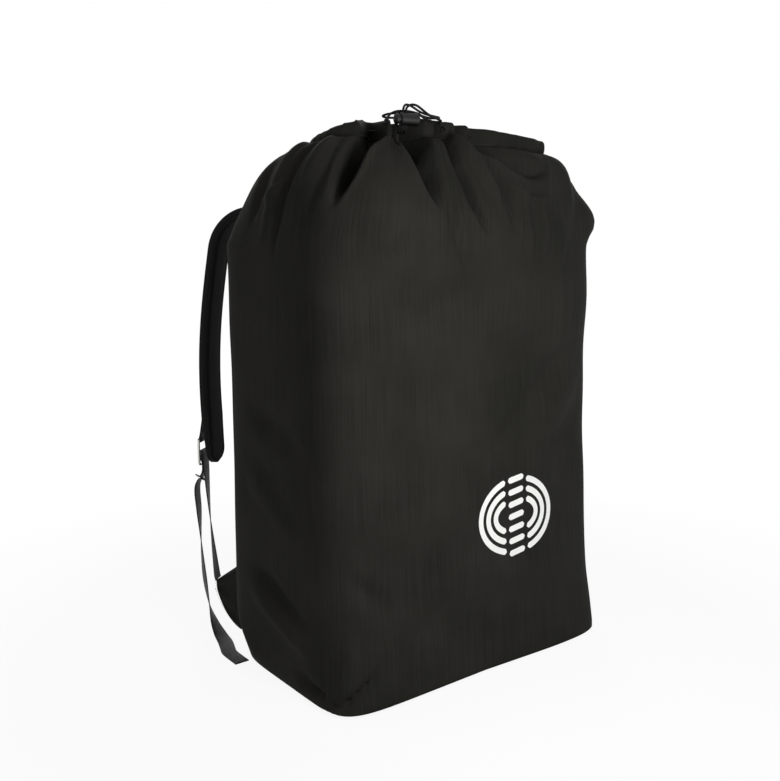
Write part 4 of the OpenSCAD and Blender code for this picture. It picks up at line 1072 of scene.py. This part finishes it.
haul = sweep("haulLoop", fromHaul(haulLine), np.tile([1.0, 0, 0], (len(haulLine), 1)),
             flatSection(haulPlan["width"], haulPlan["thickness"] * 0.86), webbingYarn)
finishPiece(haul, "haul_loop", "grey_webbing", "haul_loop")
rows = [anchorTop[k] + anchorNormals[k] * 0.0001 for k in (2, 19)]
sew("anchorStitches", rows, "bag")
tackHalf, tackOut = haulPlan["width"] / 2 - 0.002, haulPlan["thickness"] * 0.96
tack = [fromHaul([(c * tackHalf, tackOut, -fall) for c in (-1, 0, 1)]) for fall in (0.0015, 0.0045)]
sew("haulStitches", tack, "haul_loop", pitch=0.003)
print("haul loop ready")


# ---- printed sign: a wrapped rope coil ----
printPlan = {"middle": (0.062, 0.213), "size": (0.144, 0.112), "stroke": 0.0085, "gap": 0.0055, "rings": 3,
             "wraps": 7, "wrapLength": 0.030, "lift": 0.0002}
wallFinder = BVHTree.FromPolygons([tuple(v.co) for v in panels[0].data.vertices],
                                  [tuple(f.vertices) for f in panels[0].data.polygons])


def onWall(x, z):
    hit = wallFinder.ray_cast(Vector((x, -0.5, z)), Vector((0, 1, 0)))[0]
    return np.array(hit) - vec(0, printPlan["lift"], 0)


def printStroke(line, width):
    # a flat stroke with round ends, as a strip across the line
    line = evenLine(np.asarray(line, float), 0.0022)
    heading = tangents(line)
    aside = np.stack([-heading[:, 1], heading[:, 0]], 1)
    along = lineLengths(line)
    ends = np.minimum(along, along[-1] - along)
    half = width / 2 * np.sqrt(np.clip(1 - (1 - np.clip(ends / (width / 2), 0, 1)) ** 2, 0.02, 1))
    return [[line[i] + aside[i] * half[i] * c for c in (-1, -0.34, 0.34, 1)] for i in range(len(line))]


strokes = []
pitch = printPlan["stroke"] + printPlan["gap"]
for ring in range(printPlan["rings"]):
    halfX, halfZ = [(size - printPlan["stroke"]) / 2 - ring * pitch for size in printPlan["size"]]
    clear = printPlan["wrapLength"] / 2 + printPlan["gap"]
    turns = math.acos(min(0.999, clear / halfX)) * np.linspace(-1, 1, 40)
    for flip in (1, -1):
        strokes.append(np.stack([flip * halfX * np.cos(turns), halfZ * np.sin(turns)], 1))
wrapPitch = (printPlan["size"][1] - printPlan["stroke"]) / (printPlan["wraps"] - 1)
for wrap in range(printPlan["wraps"]):
    rise = (printPlan["stroke"] - printPlan["size"][1]) / 2 + wrap * wrapPitch
    reach = printPlan["wrapLength"] / 2
    strokes.append([(-reach, rise - 0.0022), (0, rise), (reach, rise + 0.0022)])
inkPoints, inkFaces = [], []
for stroke in strokes:
    strip = printStroke(stroke, printPlan["stroke"])
    first = len(inkPoints)
    inkPoints += [onWall(*(place + printPlan["middle"])) for row in strip for place in row]
    inkFaces += (gridFaces(len(strip), 4)[0][:, ::-1] + first).tolist()
ink = newPiece("printedSign", inkPoints, inkFaces, printInk)
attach(ink, "bag")
print("sign ready")


# ---- floor and light ----
stagePlan = {"size": 6.0, "whiteness": 0.86, "key": 3.8, "fill": 1.5, "back": 16.0, "sky": 0.37}
white, whiteTree, whiteShader = startMaterial("paperSweep", {
    "Roughness": 0.9, "Base Color": linearColour("#d2d2d2")})
rays = addNode(whiteTree, "ShaderNodeLightPath")
looked = maths(whiteTree, "MAXIMUM", rays["Is Camera Ray"], rays["Is Glossy Ray"])
# near the bag a part of the mix stays lit, so the shadow shows
spot = addNode(whiteTree, "ShaderNodeTexCoord")["Object"]
away = addNode(whiteTree, "ShaderNodeVectorMath", {0: spot}, operation="LENGTH")["Value"]
direct = maths(whiteTree, "MULTIPLY", looked, remap(whiteTree, away, 0.5, 1.5, stagePlan["whiteness"], 1.0))
glow = addNode(whiteTree, "ShaderNodeEmission", {"Color": linearColour("#ffffff"), "Strength": 1.05})
shown = addNode(whiteTree, "ShaderNodeMixShader", {0: direct, 1: whiteShader.outputs[0], 2: glow[0]})
whiteTree.links.new(shown[0], whiteTree.nodes["Material Output"].inputs["Surface"])
half = stagePlan["size"] / 2
floor = newPiece("floor", [(x * half, y * half, -0.0005) for x, y in ((-1, -1), (1, -1), (1, 1), (-1, 1))],
                 [(0, 1, 2, 3)], white, smooth=False)
world = bpy.data.worlds.new("studio")
scene.world = world
world.use_nodes = True
skyTree = world.node_tree
sky = skyTree.nodes["Background"]
sky.inputs["Color"].default_value = (1, 1, 1, 1)
skyRays = addNode(skyTree, "ShaderNodeLightPath")
seen = maths(skyTree, "MAXIMUM", skyRays["Is Camera Ray"], skyRays["Is Transmission Ray"])
seen = maths(skyTree, "MAXIMUM", seen, skyRays["Is Glossy Ray"])
skyTree.links.new(remap(skyTree, seen, 0.0, 1.0, stagePlan["sky"], 1.0), sky.inputs["Strength"])


def addLamp(name, place, aim, size, power):
    lamp = bpy.data.lights.new(name, "AREA")
    lamp.energy = power
    lamp.shape = "RECTANGLE"
    lamp.size, lamp.size_y = size
    holder = addObject(name, lamp)
    holder.location = place
    holder.visible_camera = False
    holder.rotation_euler = (Vector(aim) - Vector(place)).to_track_quat("-Z", "Y").to_euler()


addLamp("keyLamp", (-0.18, -0.72, 0.52), (0.0, -0.14, 0.47), (0.25, 0.25), stagePlan["key"])
addLamp("fillLamp", (-1.9, -1.6, 1.6), (0, 0, 0.45), (0.8, 1.4), stagePlan["fill"])
addLamp("backLamp", (1.5, 2.0, 1.4), (0, 0, 0.4), (1.0, 1.4), stagePlan["back"])
scene.view_settings.view_transform = "Standard"
print("stage ready")
